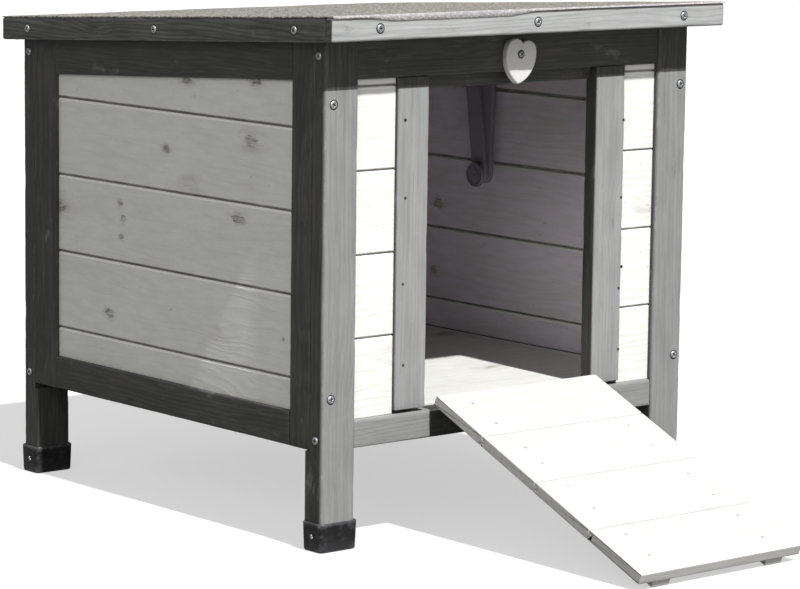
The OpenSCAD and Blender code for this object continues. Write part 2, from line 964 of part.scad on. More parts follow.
module at_roof_hinges() {
    for (sx = [-1, 1])
        translate([sx * (half_w - leg_w - roof_hinge_inset), roof_pin_y, roof_pin_z])
            children();
}

// Leaves on the back of the top rail, with the pins.
module roof_hinge_wall_leaves() {
    place()
        color(zinc)
            at_roof_hinges() {
                rotate([90, 0, 0])
                    hinge_leaf(leaf_l, false);
                hinge_pin();
            }
}

// Narrow leaves under the rear fascia.
module roof_hinge_roof_leaves() {
    place()
        color(zinc)
            at_roof_hinges()
                rotate([0, 0, 180])
                    hinge_leaf(roof_rear - roof_pin_y, true);
}

// Places children in the door's own frame: -y runs down the ramp and z stands out of its inner face.
module in_door() {
    place()
        translate([doorway_x, door_pin_y, door_pin_z])
            rotate([ramp_angle, 0, 0])
                translate([0, -door_edge_gap, hinge_set])
                    children();
}

// One of the cross boards of the door, counted from the hinges.
module door_board(i) {
    low = i == 1 ? 0 : (i - 1) * door_pitch - door_first_cut;
    high = i == door_board_count ? door_l : i * door_pitch - door_first_cut;
    in_door()
        color(paint_white)
            translate([-door_w / 2, 0, 0])
                rotate([90, 0, 90])
                    linear_extrude(height = door_w)
                        mirror([1, 0])
                            rotate(-90)
                                mirror([1, 0])
                                    board_section(door_t, low, high, i > 1, i < door_board_count);
}

module door_battens() {
    in_door()
        color(paint_white)
            for (x = [-door_w / 2 + batten_inset, door_w / 2 - batten_inset - batten_w])
                translate([x, -door_l + batten_end, -batten_t])
                    cube([batten_w, door_l - batten_end - batten_start, batten_t]);
}

lobe_z = heart_top - lobe_r;
tip_z = -heart_tip + tip_r;
// Middle of the right side's arc, which runs into the lobe's and the tip's arcs.
side_mid = arc_mid([lobe_x, lobe_z], side_r - lobe_r, [0, tip_z], side_r - tip_r);
// The point at distance ra from a and rb from b, on the right-hand side of the way from a to b.
function arc_mid(a, ra, b, rb) =
    let (d = norm(b - a), u = (b - a) / d, l = (pow(ra, 2) - pow(rb, 2) + pow(d, 2)) / (2 * d))
    a + l * u + sqrt(pow(ra, 2) - pow(l, 2)) * [u[1], -u[0]];
// A list without its first entry.
function rest_of(v) = [for (i = [1:len(v) - 1]) v[i]];

// Heart round its middle line: two lobes, bulging sides and a blunt tip.
module heart_outline() {
    notch_a = acos(-lobe_x / lobe_r);
    lobe_a = atan2(lobe_z - side_mid[1], lobe_x - side_mid[0]);
    tip_a = atan2(tip_z - side_mid[1], -side_mid[0]);
    right_half = concat(
        arc_points([lobe_x, lobe_z], lobe_r, notch_a, lobe_a, 24),
        rest_of(arc_points(side_mid, side_r, lobe_a, tip_a, 16)),
        rest_of(arc_points([0, tip_z], tip_r, tip_a, -90, 6))
    );
    left_half = [for (i = [len(right_half) - 2:-1:1]) [-right_half[i][0], right_half[i][1]]];
    polygon(concat(right_half, left_half));
}

module turn_button() {
    place()
        color(paint_white)
            translate([button_x, 0, button_z])
                difference() {
                    rotate([0, button_turn, 0])
                        translate([button_off, 0, 0])
                            along_y(rail_set - button_gap - heart_t, rail_set - button_gap)
                                heart_outline();
                    translate([0, rail_set - heart_t - cut, 0])
                        rotate([-90, 0, 0])
                            cylinder(r = screw_r + bolt_fit, h = heart_t + 2 * cut);
                }
}

// Screw with a long plain neck that the button turns on.
module turn_button_screw() {
    head_y = rail_set - button_gap - heart_t - button_gap;
    place()
        color(zinc)
            translate([button_x, head_y, button_z])
                rotate([90, 0, 0]) {
                    rotate_extrude()
                        polygon(concat([[0, 0]], dome(button_head_r)));
                    translate([0, 0, -heart_t - 2 * button_gap - screw_l])
                        cylinder(r = screw_r, h = heart_t + 2 * button_gap + screw_l);
                }
}

// Flat arm with round ends, drawn in the y-z plane between two points.
module arm_outline(a, b) {
    turn = atan2(b[1] - a[1], b[0] - a[0]);
    polygon(concat(
        arc_points(a, arm_w / 2, turn + 90, turn + 270, 18),
        arc_points(b, arm_w / 2, turn - 90, turn + 90, 18)
    ));
}

// Bore across an arm at a point of the y-z plane.
module arm_bore(p, r) {
    translate([-far / 2, p[0], p[1]])
        rotate([0, 90, 0])
            cylinder(r = r, h = far);
}

module stay_outer_arm() {
    place()
        color(stay_dark)
            difference() {
                along_x(arm_outer_x - arm_t, arm_outer_x)
                    arm_outline(wall_pivot, elbow);
                arm_bore(elbow, bolt_r);
                arm_bore(wall_pivot, bolt_r + bolt_fit);
                translate([arm_outer_x - arm_t - cut, wall_pivot[0], wall_pivot[1]])
                    rotate([0, 90, 0])
                        cylinder(r = bolt_head_r + stay_gap, h = screw_sink + cut);
            }
}

module stay_inner_arm() {
    place()
        color(stay_dark)
            difference() {
                along_x(arm_inner_x - arm_t, arm_inner_x)
                    arm_outline(elbow, roof_pivot);
                arm_bore(elbow, bolt_r + bolt_fit);
            }
}

// Screw that carries the outer arm: a sunk head, a plain neck, a spacer and a shank in the rail.
module stay_wall_screw() {
    head_x = arm_outer_x - arm_t + screw_sink - stay_gap;
    place()
        color(zinc)
            translate([0, wall_pivot[0], wall_pivot[1]])
                rotate([0, 90, 0]) {
                    translate([0, 0, head_x - screw_sink / 2])
                        cylinder(r = bolt_head_r, h = screw_sink / 2);
                    translate([0, 0, head_x])
                        cylinder(r = bolt_r, h = stay_wall_x - head_x);
                    translate([0, 0, arm_outer_x + stay_gap])
                        cylinder(r = bolt_head_r, h = stay_wall_x - arm_outer_x - stay_gap);
                    translate([0, 0, stay_wall_x])
                        cylinder(r = screw_r, h = screw_l - cut);
                }
}

// Elbow bolt with a low head by the wall, a washer and a round clamping knob.
module stay_clamp_knob() {
    washer_x = knob_x - washer_t;
    place()
        color(stay_dark)
            translate([0, elbow[0], elbow[1]])
                rotate([0, 90, 0]) {
                    translate([0, 0, washer_x])
                        cylinder(r = bolt_r, h = arm_outer_x - washer_x);
                    translate([0, 0, arm_outer_x])
                        cylinder(r = bolt_head_r, h = bolt_head_h);
                    translate([0, 0, washer_x])
                        cylinder(r = washer_r, h = washer_t);
                    translate([0, 0, washer_x - knob_t])
                        cylinder(r1 = knob_r - knob_bevel, r2 = knob_r, h = knob_bevel);
                    translate([0, 0, washer_x - knob_t + knob_bevel])
                        cylinder(r = knob_r, h = knob_t - knob_bevel);
                }
}

// Angle bracket under the roof board, with a rivet stub that faces the inner arm.
module stay_roof_bracket() {
    plate_x = arm_inner_x - arm_t - stay_gap - washer_t - bracket_t;
    y0 = roof_pivot[0] - arm_w / 2;
    y1 = roof_pivot[0] + arm_w / 2;
    place()
        color(stay_dark) {
            along_x(plate_x, plate_x + bracket_t) {
                translate(roof_pivot)
                    circle(arm_w / 2);
                polygon([
                    [y0, roof_pivot[1]], [y1, roof_pivot[1]], [y1, deck_under(y1)], [y0, deck_under(y0)]
                ]);
            }
            along_x(plate_x - bracket_foot_w, plate_x)
                roof_outline(y0, y1, -bracket_t, 0);
            translate([plate_x + bracket_t, roof_pivot[0], roof_pivot[1]])
                rotate([0, 90, 0])
                    cylinder(r = rivet_r, h = washer_t);
        }
}

leg(-1, -1);  // front_left_leg
leg(1, -1);  // front_right_leg
leg(-1, 1);  // rear_left_leg
leg(1, 1);  // rear_right_leg
foot_caps();
lintel();
front_bottom_rail();
door_trims();
door_stop();
front_boards();
side_front_stile(false);  // left_front_stile
side_rear_stile(false);  // left_rear_stile
side_top_rail(false);  // left_top_rail
side_bottom_rail(false);  // left_bottom_rail
side_front_stile(true);  // right_front_stile
side_rear_stile(true);  // right_rear_stile
side_top_rail(true);  // right_top_rail
side_bottom_rail(true);  // right_bottom_rail
for (i = [1:5]) {
    side_board(i, false);
    side_board(i, true);
}
back_stiles();
back_top_rail();
back_bottom_rail();
back_boards();
floor_panel();
floor_ledgers();
frame_screws();
roof_board();
roof_felt();
front_fascia();
rear_fascia();
side_fascia(-1);  // left_fascia
side_fascia(1);  // right_fascia
roof_battens();
fascia_screws();
roof_hinge_wall_leaves();
roof_hinge_roof_leaves();
stay_roof_bracket();
stay_outer_arm();
stay_inner_arm();
stay_clamp_knob();
stay_wall_screw();
for (i = [1:4])
    door_board(i);
door_battens();
door_hinge_rail_leaves();
door_hinge_door_leaves();
turn_button();
turn_button_screw();
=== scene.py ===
"""Look of the outdoor cat house: detailed pieces over the CAD frame, their finishes, light and camera."""

import functools
import math

import bmesh
import bpy
import numpy as np
from mathutils import Matrix


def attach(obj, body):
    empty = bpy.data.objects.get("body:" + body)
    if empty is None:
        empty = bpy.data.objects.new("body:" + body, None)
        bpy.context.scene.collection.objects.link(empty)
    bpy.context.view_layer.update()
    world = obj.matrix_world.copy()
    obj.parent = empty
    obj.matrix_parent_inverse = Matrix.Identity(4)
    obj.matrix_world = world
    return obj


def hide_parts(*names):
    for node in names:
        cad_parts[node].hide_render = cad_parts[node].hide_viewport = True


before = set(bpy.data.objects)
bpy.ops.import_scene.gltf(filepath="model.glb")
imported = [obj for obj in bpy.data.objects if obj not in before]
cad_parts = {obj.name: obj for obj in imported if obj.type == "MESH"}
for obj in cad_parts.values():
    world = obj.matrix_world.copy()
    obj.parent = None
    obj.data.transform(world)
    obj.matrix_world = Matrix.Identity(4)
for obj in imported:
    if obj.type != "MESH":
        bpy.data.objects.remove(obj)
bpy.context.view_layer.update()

# Sizes in mm in the house frame: x across the front, y back from the legs' faces, z up. SHIFT_Y moves that
# frame's y to the part's own.
MM = 0.001
SHIFT_Y = -95.2708
HALF_W, HOUSE_D = 207.5, 441.0
LEG_W, LEG_D, LEG_R, SEAT = 36.0, 22.0, 3.5, 5.0
WALL_H, TAN_SLOPE = 436.7, math.tan(math.radians(3.16))
PANEL_Z, RAIL_TOP, TOP_RAIL_H = 85.0, 114.5, 43.3
FRAME_T, BOARD_T, RECESS, BOARD_SEAT = 18.0, 9.5, 4.0, 7.0
FIELD_FRONT, FIELD_REAR, FIELD_TOP, SLAB_SEAT = 44.0, 389.0, 398.0, 12.0
JOINTS = (141.0, 211.0, 281.0, 351.0)
FRONT_JOINTS = (176.0, 246.0, 316.0, 386.0)
BACK_FACE, BACK_FIELD_X = 439.0, 141.5
FRONT_SET, FRONT_BOARD_Y, STOP_Y, STOP_H = 2.0, 5.5, 11.5, 11.0
LINTEL_Z, FRONT_RAIL_TOP, FLOOR_TOP, FLOOR_T, LEDGER_W = 392.5, 109.0, 111.0, 9.5, 16.0
DOOR_X, DOORWAY_W, TRIM_W, TRIM_T = 2.5, 192.7, 34.0, 15.0
EAVE_SIDE, ROOF_FRONT, ROOF_REAR = 15.7, -28.0, 451.0
FASCIA_H, FASCIA_T, DECK_T, ROOF_GAP, FELT_T = 20.0, 9.5, 8.0, 0.4, 1.6
DOOR_L, DOOR_W, DOOR_T, BATTEN_T, BATTEN_W = 275.0, 184.7, 9.2, 6.5, 19.0
RAMP_JOINTS = (65.0, 136.5, 208.0)
DOOR_PIN = (DOOR_X, -1.4, 111.5)
ROOF_PIN, ROOF_HINGE_X, DOOR_HINGE_IN = (0.0, 442.4, 396.8), 111.5, 55.0
RAMP_ANGLE = math.radians(23.2272)
HINGE_SET, DOOR_GAP, HINGE_W, LEAF_L, LEAF_T, KNUCKLE_R, PIN_R = 3.4, 1.5, 34.0, 20.0, 1.2, 2.6, 1.3
BUTTON = (2.5, 0.0, 407.6)
STAY_WALL = (233.7, 395.798)
STAY_ELBOW = (237.232, 272.648)
STAY_ROOF = (254.3, 394.661)
RAIL_X, ARM_OUTER_X, ARM_INNER_X, ARM_T, ARM_R = 189.5, 180.5, 174.9, 5.2, 9.0
KNOB_R, KNOB_T, WASHER_T, STAY_GAP = 11.8, 4.0, 1.2, 0.4
LOBE_X, LOBE_R, SIDE_R, TIP_R, HEART_TOP, HEART_TIP = 7.0, 9.6, 27.0, 3.5, 12.9, 25.2
BUTTON_OFF, BUTTON_TURN = 1.4, math.radians(8.3)
# Screws stand this far from an edge, their heads start this far inside the wood, and the fascia's ones stand
# this far from its ends and below its top. The others are distances below the walls' top edge, above the
# panels' lower edge and below the lintel.
SCREW_IN, SCREW_SUNK, FASCIA_SCREW_IN, FASCIA_SCREW_DOWN = 9.0, 0.15, 50.0, 10.0
LEG_SCREW_DOWN, RAIL_SCREW_UP, LINTEL_SCREW_DOWN = 23.0, 44.0, 19.0
# Height at which the legs stand in their caps, and half the distance between two close rings of a sweep.
CAP_FLOOR, CLOSE = 3.0, 0.3
# Painted shadow on the front, where no sunlight is painted on the stain because the eave's or the ramp's cast
# shadow falls there: heights on the legs and the trims, and a stretch of x on the rail.
PAINTED_SHADOW_LEGS, PAINTED_SHADOW_TRIMS, PAINTED_SHADOW_RAIL = (385.0, 385.0), (383.4, 383.4), (-88.3, 96.3)

X, Y, Z = np.eye(3)
GRAIN = {"x": (X, Z, Y), "y": (Y, Z, X), "z": (Z, X, Y)}


def wall_z(y):
    """Height of the walls' sloping top edge at depth y."""
    return WALL_H - y * TAN_SLOPE


def deck_under(y):
    """Height of the roof board's underside at depth y."""
    return wall_z(y) + ROOF_GAP


def deck_top(y):
    """Height of the roof board's upper face at depth y."""
    return deck_under(y) + DECK_T


# Nodes of the finishes


def srgb(code):
    """Linear colour of a #rrggbb code."""
    parts = [int(code[i : i + 2], 16) / 255 for i in (1, 3, 5)]
    return tuple(p / 12.92 if p <= 0.04045 else ((p + 0.055) / 1.055) ** 2.4 for p in parts) + (1.0,)


def grey(value):
    """A grey as a colour."""
    return (value, value, value, 1.0)


def put(tree, value, socket):
    """Links another node's output to a socket, or sets the socket's constant."""
    if isinstance(value, bpy.types.NodeSocket):
        tree.links.new(value, socket)
    else:
        socket.default_value = value


def add(tree, kind, *values, out=0, stops=(), **settings):
    """Adds a node with its settings and links, and gives its output of that number or name.

    values go to the node's open inputs in order. A setting is one of the node's own properties or an input
    by its name, with underscores for blanks. stops are a colour ramp's places with a grey or a colour each.
    """
    node = tree.nodes.new("ShaderNode" + kind)
    for key in [k for k in settings if hasattr(node, k)]:
        setattr(node, key, settings.pop(key))
    for _ in stops[2:]:
        node.color_ramp.elements.new(0.5)
    for element, (place, value) in zip(node.color_ramp.elements if stops else (), stops):
        element.position = place
        element.color = grey(value) if isinstance(value, float) else value
    for socket, value in zip([s for s in node.inputs if s.enabled], values):
        put(tree, value, socket)
    for key, value in settings.items():
        put(tree, value, node.inputs[key.replace("_", " ")])
    return node.outputs[out] if isinstance(out, str) else [s for s in node.outputs if s.enabled][out]


def material(name):
    """A new material and what its patterns use.

    It gives the material, the function that adds a node to it, the piece's own coordinates in metres, along
    the grain first, and its edge values.
    """
    made = bpy.data.materials.new(name)
    made.use_nodes = True
    node = functools.partial(add, made.node_tree)
    place = node("Attribute", attribute_name="grain", out="Vector")
    return made, node, place, node("Attribute", attribute_name="edge", out="Fac")


def finish(made, **sockets):
    """Sets or links the material's own shader sockets, named with underscores for blanks."""
    for key, value in sockets.items():
        put(made.node_tree, value, made.node_tree.nodes["Principled BSDF"].inputs[key.replace("_", " ")])
    return made


def patches(node, place, size, detail=3.0, rough=0.55, shift=0.0):
    """Noise between 0 and 1 with patches of a size in mm, or of three sizes along and across the grain."""
    if isinstance(size, tuple):
        place = node("Mapping", Vector=place, Scale=[1 / (s * MM) for s in size], Location=(shift,) * 3)
        size = 1 / MM
    return node("TexNoise", Vector=place, Scale=1 / (size * MM), Detail=detail, Roughness=rough)


def coats(node, base, *layers):
    """Lays coats of colour over a base in turn, each as (mask, strength, colour)."""
    for mask, strength, colour in layers:
        share = node("Math", mask, strength, operation="MULTIPLY")
        base = node("Mix", share, base, colour, data_type="RGBA")
    return base


def relief(node, *layers):
    """Normal of bumps laid over each other in turn, each as (height pattern, depth in mm, strength)."""
    under = {}
    for height, depth, strength in layers:
        normal = node("Bump", Height=height, Distance=depth * MM, Strength=strength, **under)
        under = {"Normal": normal}
    return normal


def near_knots(node, knots, crumbs):
    """Nearness to the closest of some knots, 1 at its middle and 0 at its rim.

    Each knot is (x, y, z, half length, half height) in mm: an ellipsoid in the object's own coordinates,
    whose distance is roughened by crumbs.
    """
    place = node("TexCoord", out="Object")
    nearest = 0.0
    for x, y, z, along, high in knots:
        centre = np.array([x, y + SHIFT_Y, z]) * MM
        size = np.array([KNOT_DEPTH, along, high]) * MM
        scaled = node("VectorMath", place, tuple(1 / size), tuple(-centre / size), operation="MULTIPLY_ADD")
        far = node("VectorMath", scaled, operation="LENGTH")
        far = node("Math", far, node("Math", crumbs, 1.0, -0.5, operation="MULTIPLY_ADD"), operation="ADD")
        near = node("Math", 1.25, far, operation="SUBTRACT", use_clamp=True)
        nearest = node("Math", nearest, near, operation="MAXIMUM")
    return nearest


def wood_grain(node, place, pitch, knots=(), rare=0.60):
    """Fine fibres, growth bands about pitch mm apart and knots of planed softwood, each between 0 and 1.

    Fibres are noise stretched thirty times along the board. The bands are a sine across the board whose
    phase is bent by slow noise, which gives the long flames of flat-sawn boards, by the depth in the board
    and by the knots.
    Knots are the middles of wide cells stretched along the board, kept where the cell's own random number is
    above rare; their rims are roughened by fine noise, and near is 1 at their middle and 0 where the swirl
    round them ends. Real fibres are a few hundredths of a mm thick and are drawn 1 mm wide, so that they
    show in the render.
    """
    fibres = patches(node, place, (33.33, 1.0, 1.0), 6.0, 0.62)
    bend = patches(node, place, (238.1, 38.46, 38.46), 3.0, 0.5)
    sizes = (100.0, 58.82, 58.82)
    stretched = node("Mapping", Vector=place, Scale=[1 / (s * MM) for s in sizes])
    cells = node("TexVoronoi", Vector=stretched, Scale=1.0, Randomness=0.95)
    number = node("SeparateColor", cells.node.outputs["Color"])
    chosen = node("ValToRGB", number, stops=((rare, 0.0), (rare + 0.03, 1.0)))
    crumbs = patches(node, place, (6.25, 2.381, 2.381), 3.0, 0.6, 4.4)
    far = node("Math", cells, node("Math", crumbs, 0.16, -0.08, operation="MULTIPLY_ADD"), operation="ADD")
    near = node("Math", node("ValToRGB", far, stops=((0.0, 1.0), (0.36, 0.0))), chosen, operation="MULTIPLY")
    if knots:
        near = node("Math", near, near_knots(node, knots, crumbs), operation="MAXIMUM")
    knot = node("ValToRGB", near, stops=((0.70, 0.0), (0.84, 1.0)))
    axes = node("SeparateXYZ", place).node.outputs
    phase = node("Math", axes[1], 2 * math.pi / (pitch * MM), operation="MULTIPLY")
    for bending, weight in ((bend, 46.0), (axes[2], 420.0), (near, 11.0)):
        phase = node("Math", phase, node("Math", bending, weight, operation="MULTIPLY"), operation="ADD")
    bands = node("Math", node("Math", phase, operation="SINE"), 0.5, 0.5, operation="MULTIPLY_ADD")
    return fibres, node("Math", bands, 3.0, operation="POWER"), knot, near


def stained_wood(name, dark, mid, light, bare, sunlit_colours, inside, figure, rub):
    """Softwood under one coat of grey stain: brush streaks, rubbed arrises and painted sunlight.

    The sunlit colours give the two tones and the grain line of the front and upper faces, painted lighter
    where the sun falls on them. The attribute of painted sunlight is their share, and below zero it marks
    faces towards the room, which have the thin inner coat's colour. figure is the strength of the growth
    bands, rub how much the arrises are rubbed down to bare wood where no sunlight is painted; where it is,
    they are bared fully, partly as a painted highlight.
    """
    made, node, place, edge = material(name)
    sun = node("Attribute", attribute_name="sun", out="Fac")
    dark, mid, light, bare, inside, *sunlit_colours = [srgb(c) for c in (dark, mid, light, bare, inside, *sunlit_colours)]
    fibres, bands, knot, _ = wood_grain(node, place, 4.4)
    streaks = patches(node, place, (142.9, 4.762, 4.762), 5.0, 0.6, 3.1)
    cloud = patches(node, place, (38.46, 16.67, 16.67), 4.0, 0.6, 7.7)
    tone = node("Math", node("Math", streaks, 0.55, operation="MULTIPLY"),
                node("Math", cloud, 0.45, operation="MULTIPLY"), operation="ADD")
    stain = node("ValToRGB", tone, stops=((0.34, dark), (0.5, mid), (0.66, light)))
    sunlit_tone = node("ValToRGB", tone, stops=((0.36, sunlit_colours[0]), (0.64, sunlit_colours[1])))
    # Painted sunlight: lighter tones and grain lines where the sun falls on the front and upper faces.
    painted_sun_share = node("Math", sun, 0.0, operation="MAXIMUM")
    line = node("Mix", painted_sun_share, dark, sunlit_colours[2], data_type="RGBA")
    pale = node("Math", node("Math", 1.0, bands, operation="SUBTRACT"), 6.0, operation="POWER")
    brushed = node("Math", streaks, 0.35 * figure, operation="MULTIPLY")
    pale = node("Math", pale, brushed, operation="MULTIPLY")
    hairs = node("ValToRGB", fibres, stops=((0.58, 0.0), (0.72, 1.0)))
    pores = node("ValToRGB", fibres, stops=((0.26, 1.0), (0.42, 0.0)))
    cracks = patches(node, place, (62.5, 1.111, 1.111), 2.0, 0.5, 6.6)
    split = node("ValToRGB", cracks, stops=((0.72, 0.0), (0.76, 1.0)))
    room = node("Math", sun, -1.0, operation="MULTIPLY")
    room = node("ValToRGB", room, stops=((0.50, 0.0), (0.62, 1.0)))
    smudge = patches(node, place, (45.45, 16.13, 16.13), 5.0, 0.68, 1.3)
    worn_thin = node("ValToRGB", smudge, stops=((0.62, 0.0), (0.72, 1.0)))
    soiled = node("ValToRGB", smudge, stops=((0.28, 1.0), (0.38, 0.0)))
    nicks = patches(node, place, (11.11, 3.333, 3.333), 4.0, 0.7, 5.9)
    rubbed = node("Math", edge, nicks, operation="MULTIPLY")
    chips = node("ValToRGB", rubbed, stops=((0.42, 0.0), (0.50, 1.0)))
    soft = node("ValToRGB", edge, stops=((0.25, 0.0), (1.0, 1.0)))
    bared = node("Math", node("Math", chips, 0.85, operation="MULTIPLY"),
                 node("Math", soft, 0.30, operation="MULTIPLY"), operation="MAXIMUM")
    # Rubbed arrises show fully where sunlight is painted, partly as a painted highlight.
    rub_and_painted_sun = node("Math", node("Math", painted_sun_share, 1.6, operation="MULTIPLY"), rub, operation="MAXIMUM")
    bared = node("Math", bared, rub_and_painted_sun, operation="MULTIPLY", use_clamp=True)
    scores = patches(node, place, (25.0, 0.5882, 0.5882), 2.0, 0.5, 9.2)
    scratch = node("ValToRGB", scores, stops=((0.73, 0.0), (0.78, 1.0)))
    base = coats(node, stain, (painted_sun_share, 1.0, sunlit_tone), (bands, figure, line), (pale, 1.0, bare),
                 (hairs, 0.20, bare), (pores, 0.50, line), (knot, 0.55, dark), (split, 0.45, dark),
                 (room, 1.0, inside), (worn_thin, 0.26, bare), (soiled, 0.32, dark), (bared, 1.0, bare),
                 (scratch, 0.28, bare))
    dull = node("Math", streaks, 0.25, 0.40, operation="MULTIPLY_ADD")
    normal = relief(node, (fibres, 0.14, 0.9), (bands, 0.08, 0.6), (streaks, 0.20, 0.6))
    return finish(made, Base_Color=base, Roughness=dull, Specular_IOR_Level=0.45, Normal=normal)


def white_wood(name, coat, line, knotty, dirt_and_bevel_shade, inside=None, knots=(), rare=0.60):
    """Softwood under thin off-white paint: faint grain, mottled coats, stained knots, dirt and painted shade.

    coat is the paint's colour, line that of the grain and the dirt, knotty that of resin round the knots.
    inside is the thinner coat's colour on faces towards the room, where the painted-sun attribute is below
    zero.
    Negative edge values get painted shade in the joints' lower bevels and a darker end grain; positive ones
    get a painted highlight on the upper bevels and the arrises.
    """
    made, node, place, edge = material(name)
    coat, line, knotty = srgb(coat), srgb(line), srgb(knotty)
    fibres, bands, knot, near = wood_grain(node, place, 8.3, knots, rare)
    cloud = patches(node, place, (111.1, 38.46, 38.46), 4.0, 0.55, 2.4)
    mottle = patches(node, place, (26.32, 7.692, 7.692), 5.0, 0.65, 6.1)
    fine = node("ValToRGB", fibres, stops=((0.46, 0.0), (0.72, 1.0)))
    figure = node("Math", node("Math", bands, 0.20, operation="MULTIPLY"),
                  node("Math", fine, 0.30, operation="MULTIPLY"), operation="ADD")
    shown = node("ValToRGB", cloud, stops=((0.38, 0.20), (0.62, 1.0)))
    if inside:
        sun = node("Attribute", attribute_name="sun", out="Fac")
        room = node("Math", sun, -1.0, operation="MULTIPLY", use_clamp=True)
        coat = node("Mix", room, coat, srgb(inside), data_type="RGBA")
    blotch = node("ValToRGB", mottle, stops=((0.38, 0.0), (0.68, 1.0)))
    halo = node("ValToRGB", near, stops=((0.25, 0.0), (0.80, 1.0)))
    uneven = node("ValToRGB", mottle, stops=((0.40, 0.15), (0.60, 1.0)))
    smoke = node("Math", halo, uneven, operation="MULTIPLY")
    rays = patches(node, place, (8.333, 1.429, 1.429), 4.0, 0.7, 8.3)
    rays = node("ValToRGB", rays, stops=((0.44, 0.25), (0.58, 1.0)))
    star = node("Math", knot, rays, operation="MULTIPLY")
    flecks = patches(node, place, (11.11, 0.7692, 0.7692), 3.0, 0.55, 3.3)
    dash = node("ValToRGB", flecks, stops=((0.70, 0.0), (0.77, 1.0)))
    specks = patches(node, place, 4.167, 2.0, 0.5)
    specks = node("ValToRGB", specks, stops=((0.72, 0.0), (0.77, 1.0)))
    soil = node("ValToRGB", cloud, stops=((0.48, 0.0), (0.75, 1.0)))
    # Painted shade in the joints' lower bevels, also darkening the end grain, and a painted highlight on the
    # upper bevels and the arrises.
    groove = node("ValToRGB", node("Math", edge, -1.0, operation="MULTIPLY"), stops=((0.0, 0.0), (0.9, 1.0)))
    dark_mottle = node("ValToRGB", mottle, stops=((0.30, 0.65), (0.60, 0.95)))
    glint = node("ValToRGB", edge, stops=((0.1, 0.0), (0.9, 1.0)))
    base = coats(node, coat, (figure, shown, line), (blotch, 0.42, line), (smoke, 0.55, knotty),
                 (star, 0.75, srgb("#5f5a54")), (dash, 0.40, knotty), (specks, 0.35, srgb("#6d6760")),
                 (soil, dirt_and_bevel_shade, line), (groove, dark_mottle, srgb("#5d5a56")), (glint, 0.9, srgb("#fdfcf9")))
    dull = node("Math", fibres, 0.2, 0.46, operation="MULTIPLY_ADD")
    normal = relief(node, (fibres, 0.12, 0.8), (bands, 0.12, 0.7), (mottle, 0.18, 0.5), (knot, 0.30, 0.6))
    return finish(made, Base_Color=base, Roughness=dull, Specular_IOR_Level=0.3, Normal=normal)


def mineral_felt(name):
    """Bitumen felt strewn with slate granules: pale grey with dark, green and pink grains over black."""
    made, node, place, edge = material(name)
    grains = node("TexVoronoi", Vector=place, Scale=1 / (GRANULE * MM), Randomness=1.0)
    kind = node("SeparateColor", grains.node.outputs["Color"])
    shades = ((0.0, "#3c3b3a"), (0.16, "#77756f"), (0.36, "#a19f98"), (0.60, "#bdbab2"), (0.76, "#8f9487"),
              (0.88, "#ad9f97"), (1.0, "#e2e0da"))
    base = node("ValToRGB", kind, stops=[(share, srgb(code)) for share, code in shades])
    gap = node("ValToRGB", grains, stops=((0.42, 0.0), (0.70, 1.0)))
    clumps = patches(node, place, 4.762, 4.0, 0.75)
    dark = node("ValToRGB", clumps, stops=((0.50, 0.0), (0.66, 1.0)))
    pale = node("ValToRGB", clumps, stops=((0.34, 1.0), (0.46, 0.0)))
    bald = patches(node, place, 29.41, 5.0, 0.7)
    bald = node("ValToRGB", bald, stops=((0.60, 0.0), (0.72, 1.0)))
    weather = patches(node, place, 142.9, 4.0, 0.6)
    weather = node("ValToRGB", weather, stops=((0.35, 0.25), (0.65, 0.0)))
    # The edge value draws the lip over the front edge paler.
    base = coats(node, base, (gap, 0.75, srgb("#2c2b2a")), (dark, 0.55, srgb("#4a4947")),
                 (pale, 0.45, srgb("#dcdad3")), (bald, 0.30, srgb("#56544f")),
                 (weather, 1.0, srgb("#8c8a83")), (edge, 0.6, srgb("#bcb9bb")))
    height = node("Math", 1.0, grains, operation="SUBTRACT")
    normal = relief(node, (height, 0.6, 0.9), (patches(node, place, 11.11), 0.6, 0.4))
    return finish(made, Base_Color=base, Roughness=0.92, Specular_IOR_Level=0.25, Normal=normal)


def moulded_plastic(name, black, scuff):
    """Moulded plastic: fine spark-erosion texture, pale scuffs and painted highlight on edges, dust near the
    ground.

    The texture of a real mould is about 0.1 mm fine and is drawn at 0.7 mm, so that it shows in the render.
    """
    made, node, place, edge = material(name)
    scuff = srgb(scuff)
    scuffs = patches(node, place, (2.381, 4.167, 2.381), 5.0, 0.7)
    scuffs = node("ValToRGB", scuffs, stops=((0.60, 0.0), (0.72, 1.0)))
    rubbed = node("Math", edge, 0.65, 0.10, operation="MULTIPLY_ADD")
    dust = node("ValToRGB", node("SeparateXYZ", place, out="Z"), stops=((0.0, 0.30), (12 * MM, 0.0)))
    chalk = patches(node, place, 7.692, 5.0, 0.65)
    chalk = node("ValToRGB", chalk, stops=((0.50, 0.0), (0.68, 1.0)))
    chalked = node("Math", edge, 0.35, 0.16, operation="MULTIPLY_ADD")
    # Paler on the highest edge values: scuffs, and on the caps' rims a painted highlight.
    corner = node("ValToRGB", edge, stops=((0.55, 0.0), (1.0, 1.0)))
    base = coats(node, srgb(black), (scuffs, rubbed, scuff), (dust, patches(node, place, 6.25, 4.0), scuff),
                 (chalk, chalked, scuff), (corner, 0.28, scuff))
    dull = node("Math", scuffs, 0.25, 0.38, operation="MULTIPLY_ADD")
    normal = relief(node, (patches(node, place, 0.7143, 2.0), 0.05, 0.8))
    return finish(made, Base_Color=base, Roughness=dull, Normal=normal)


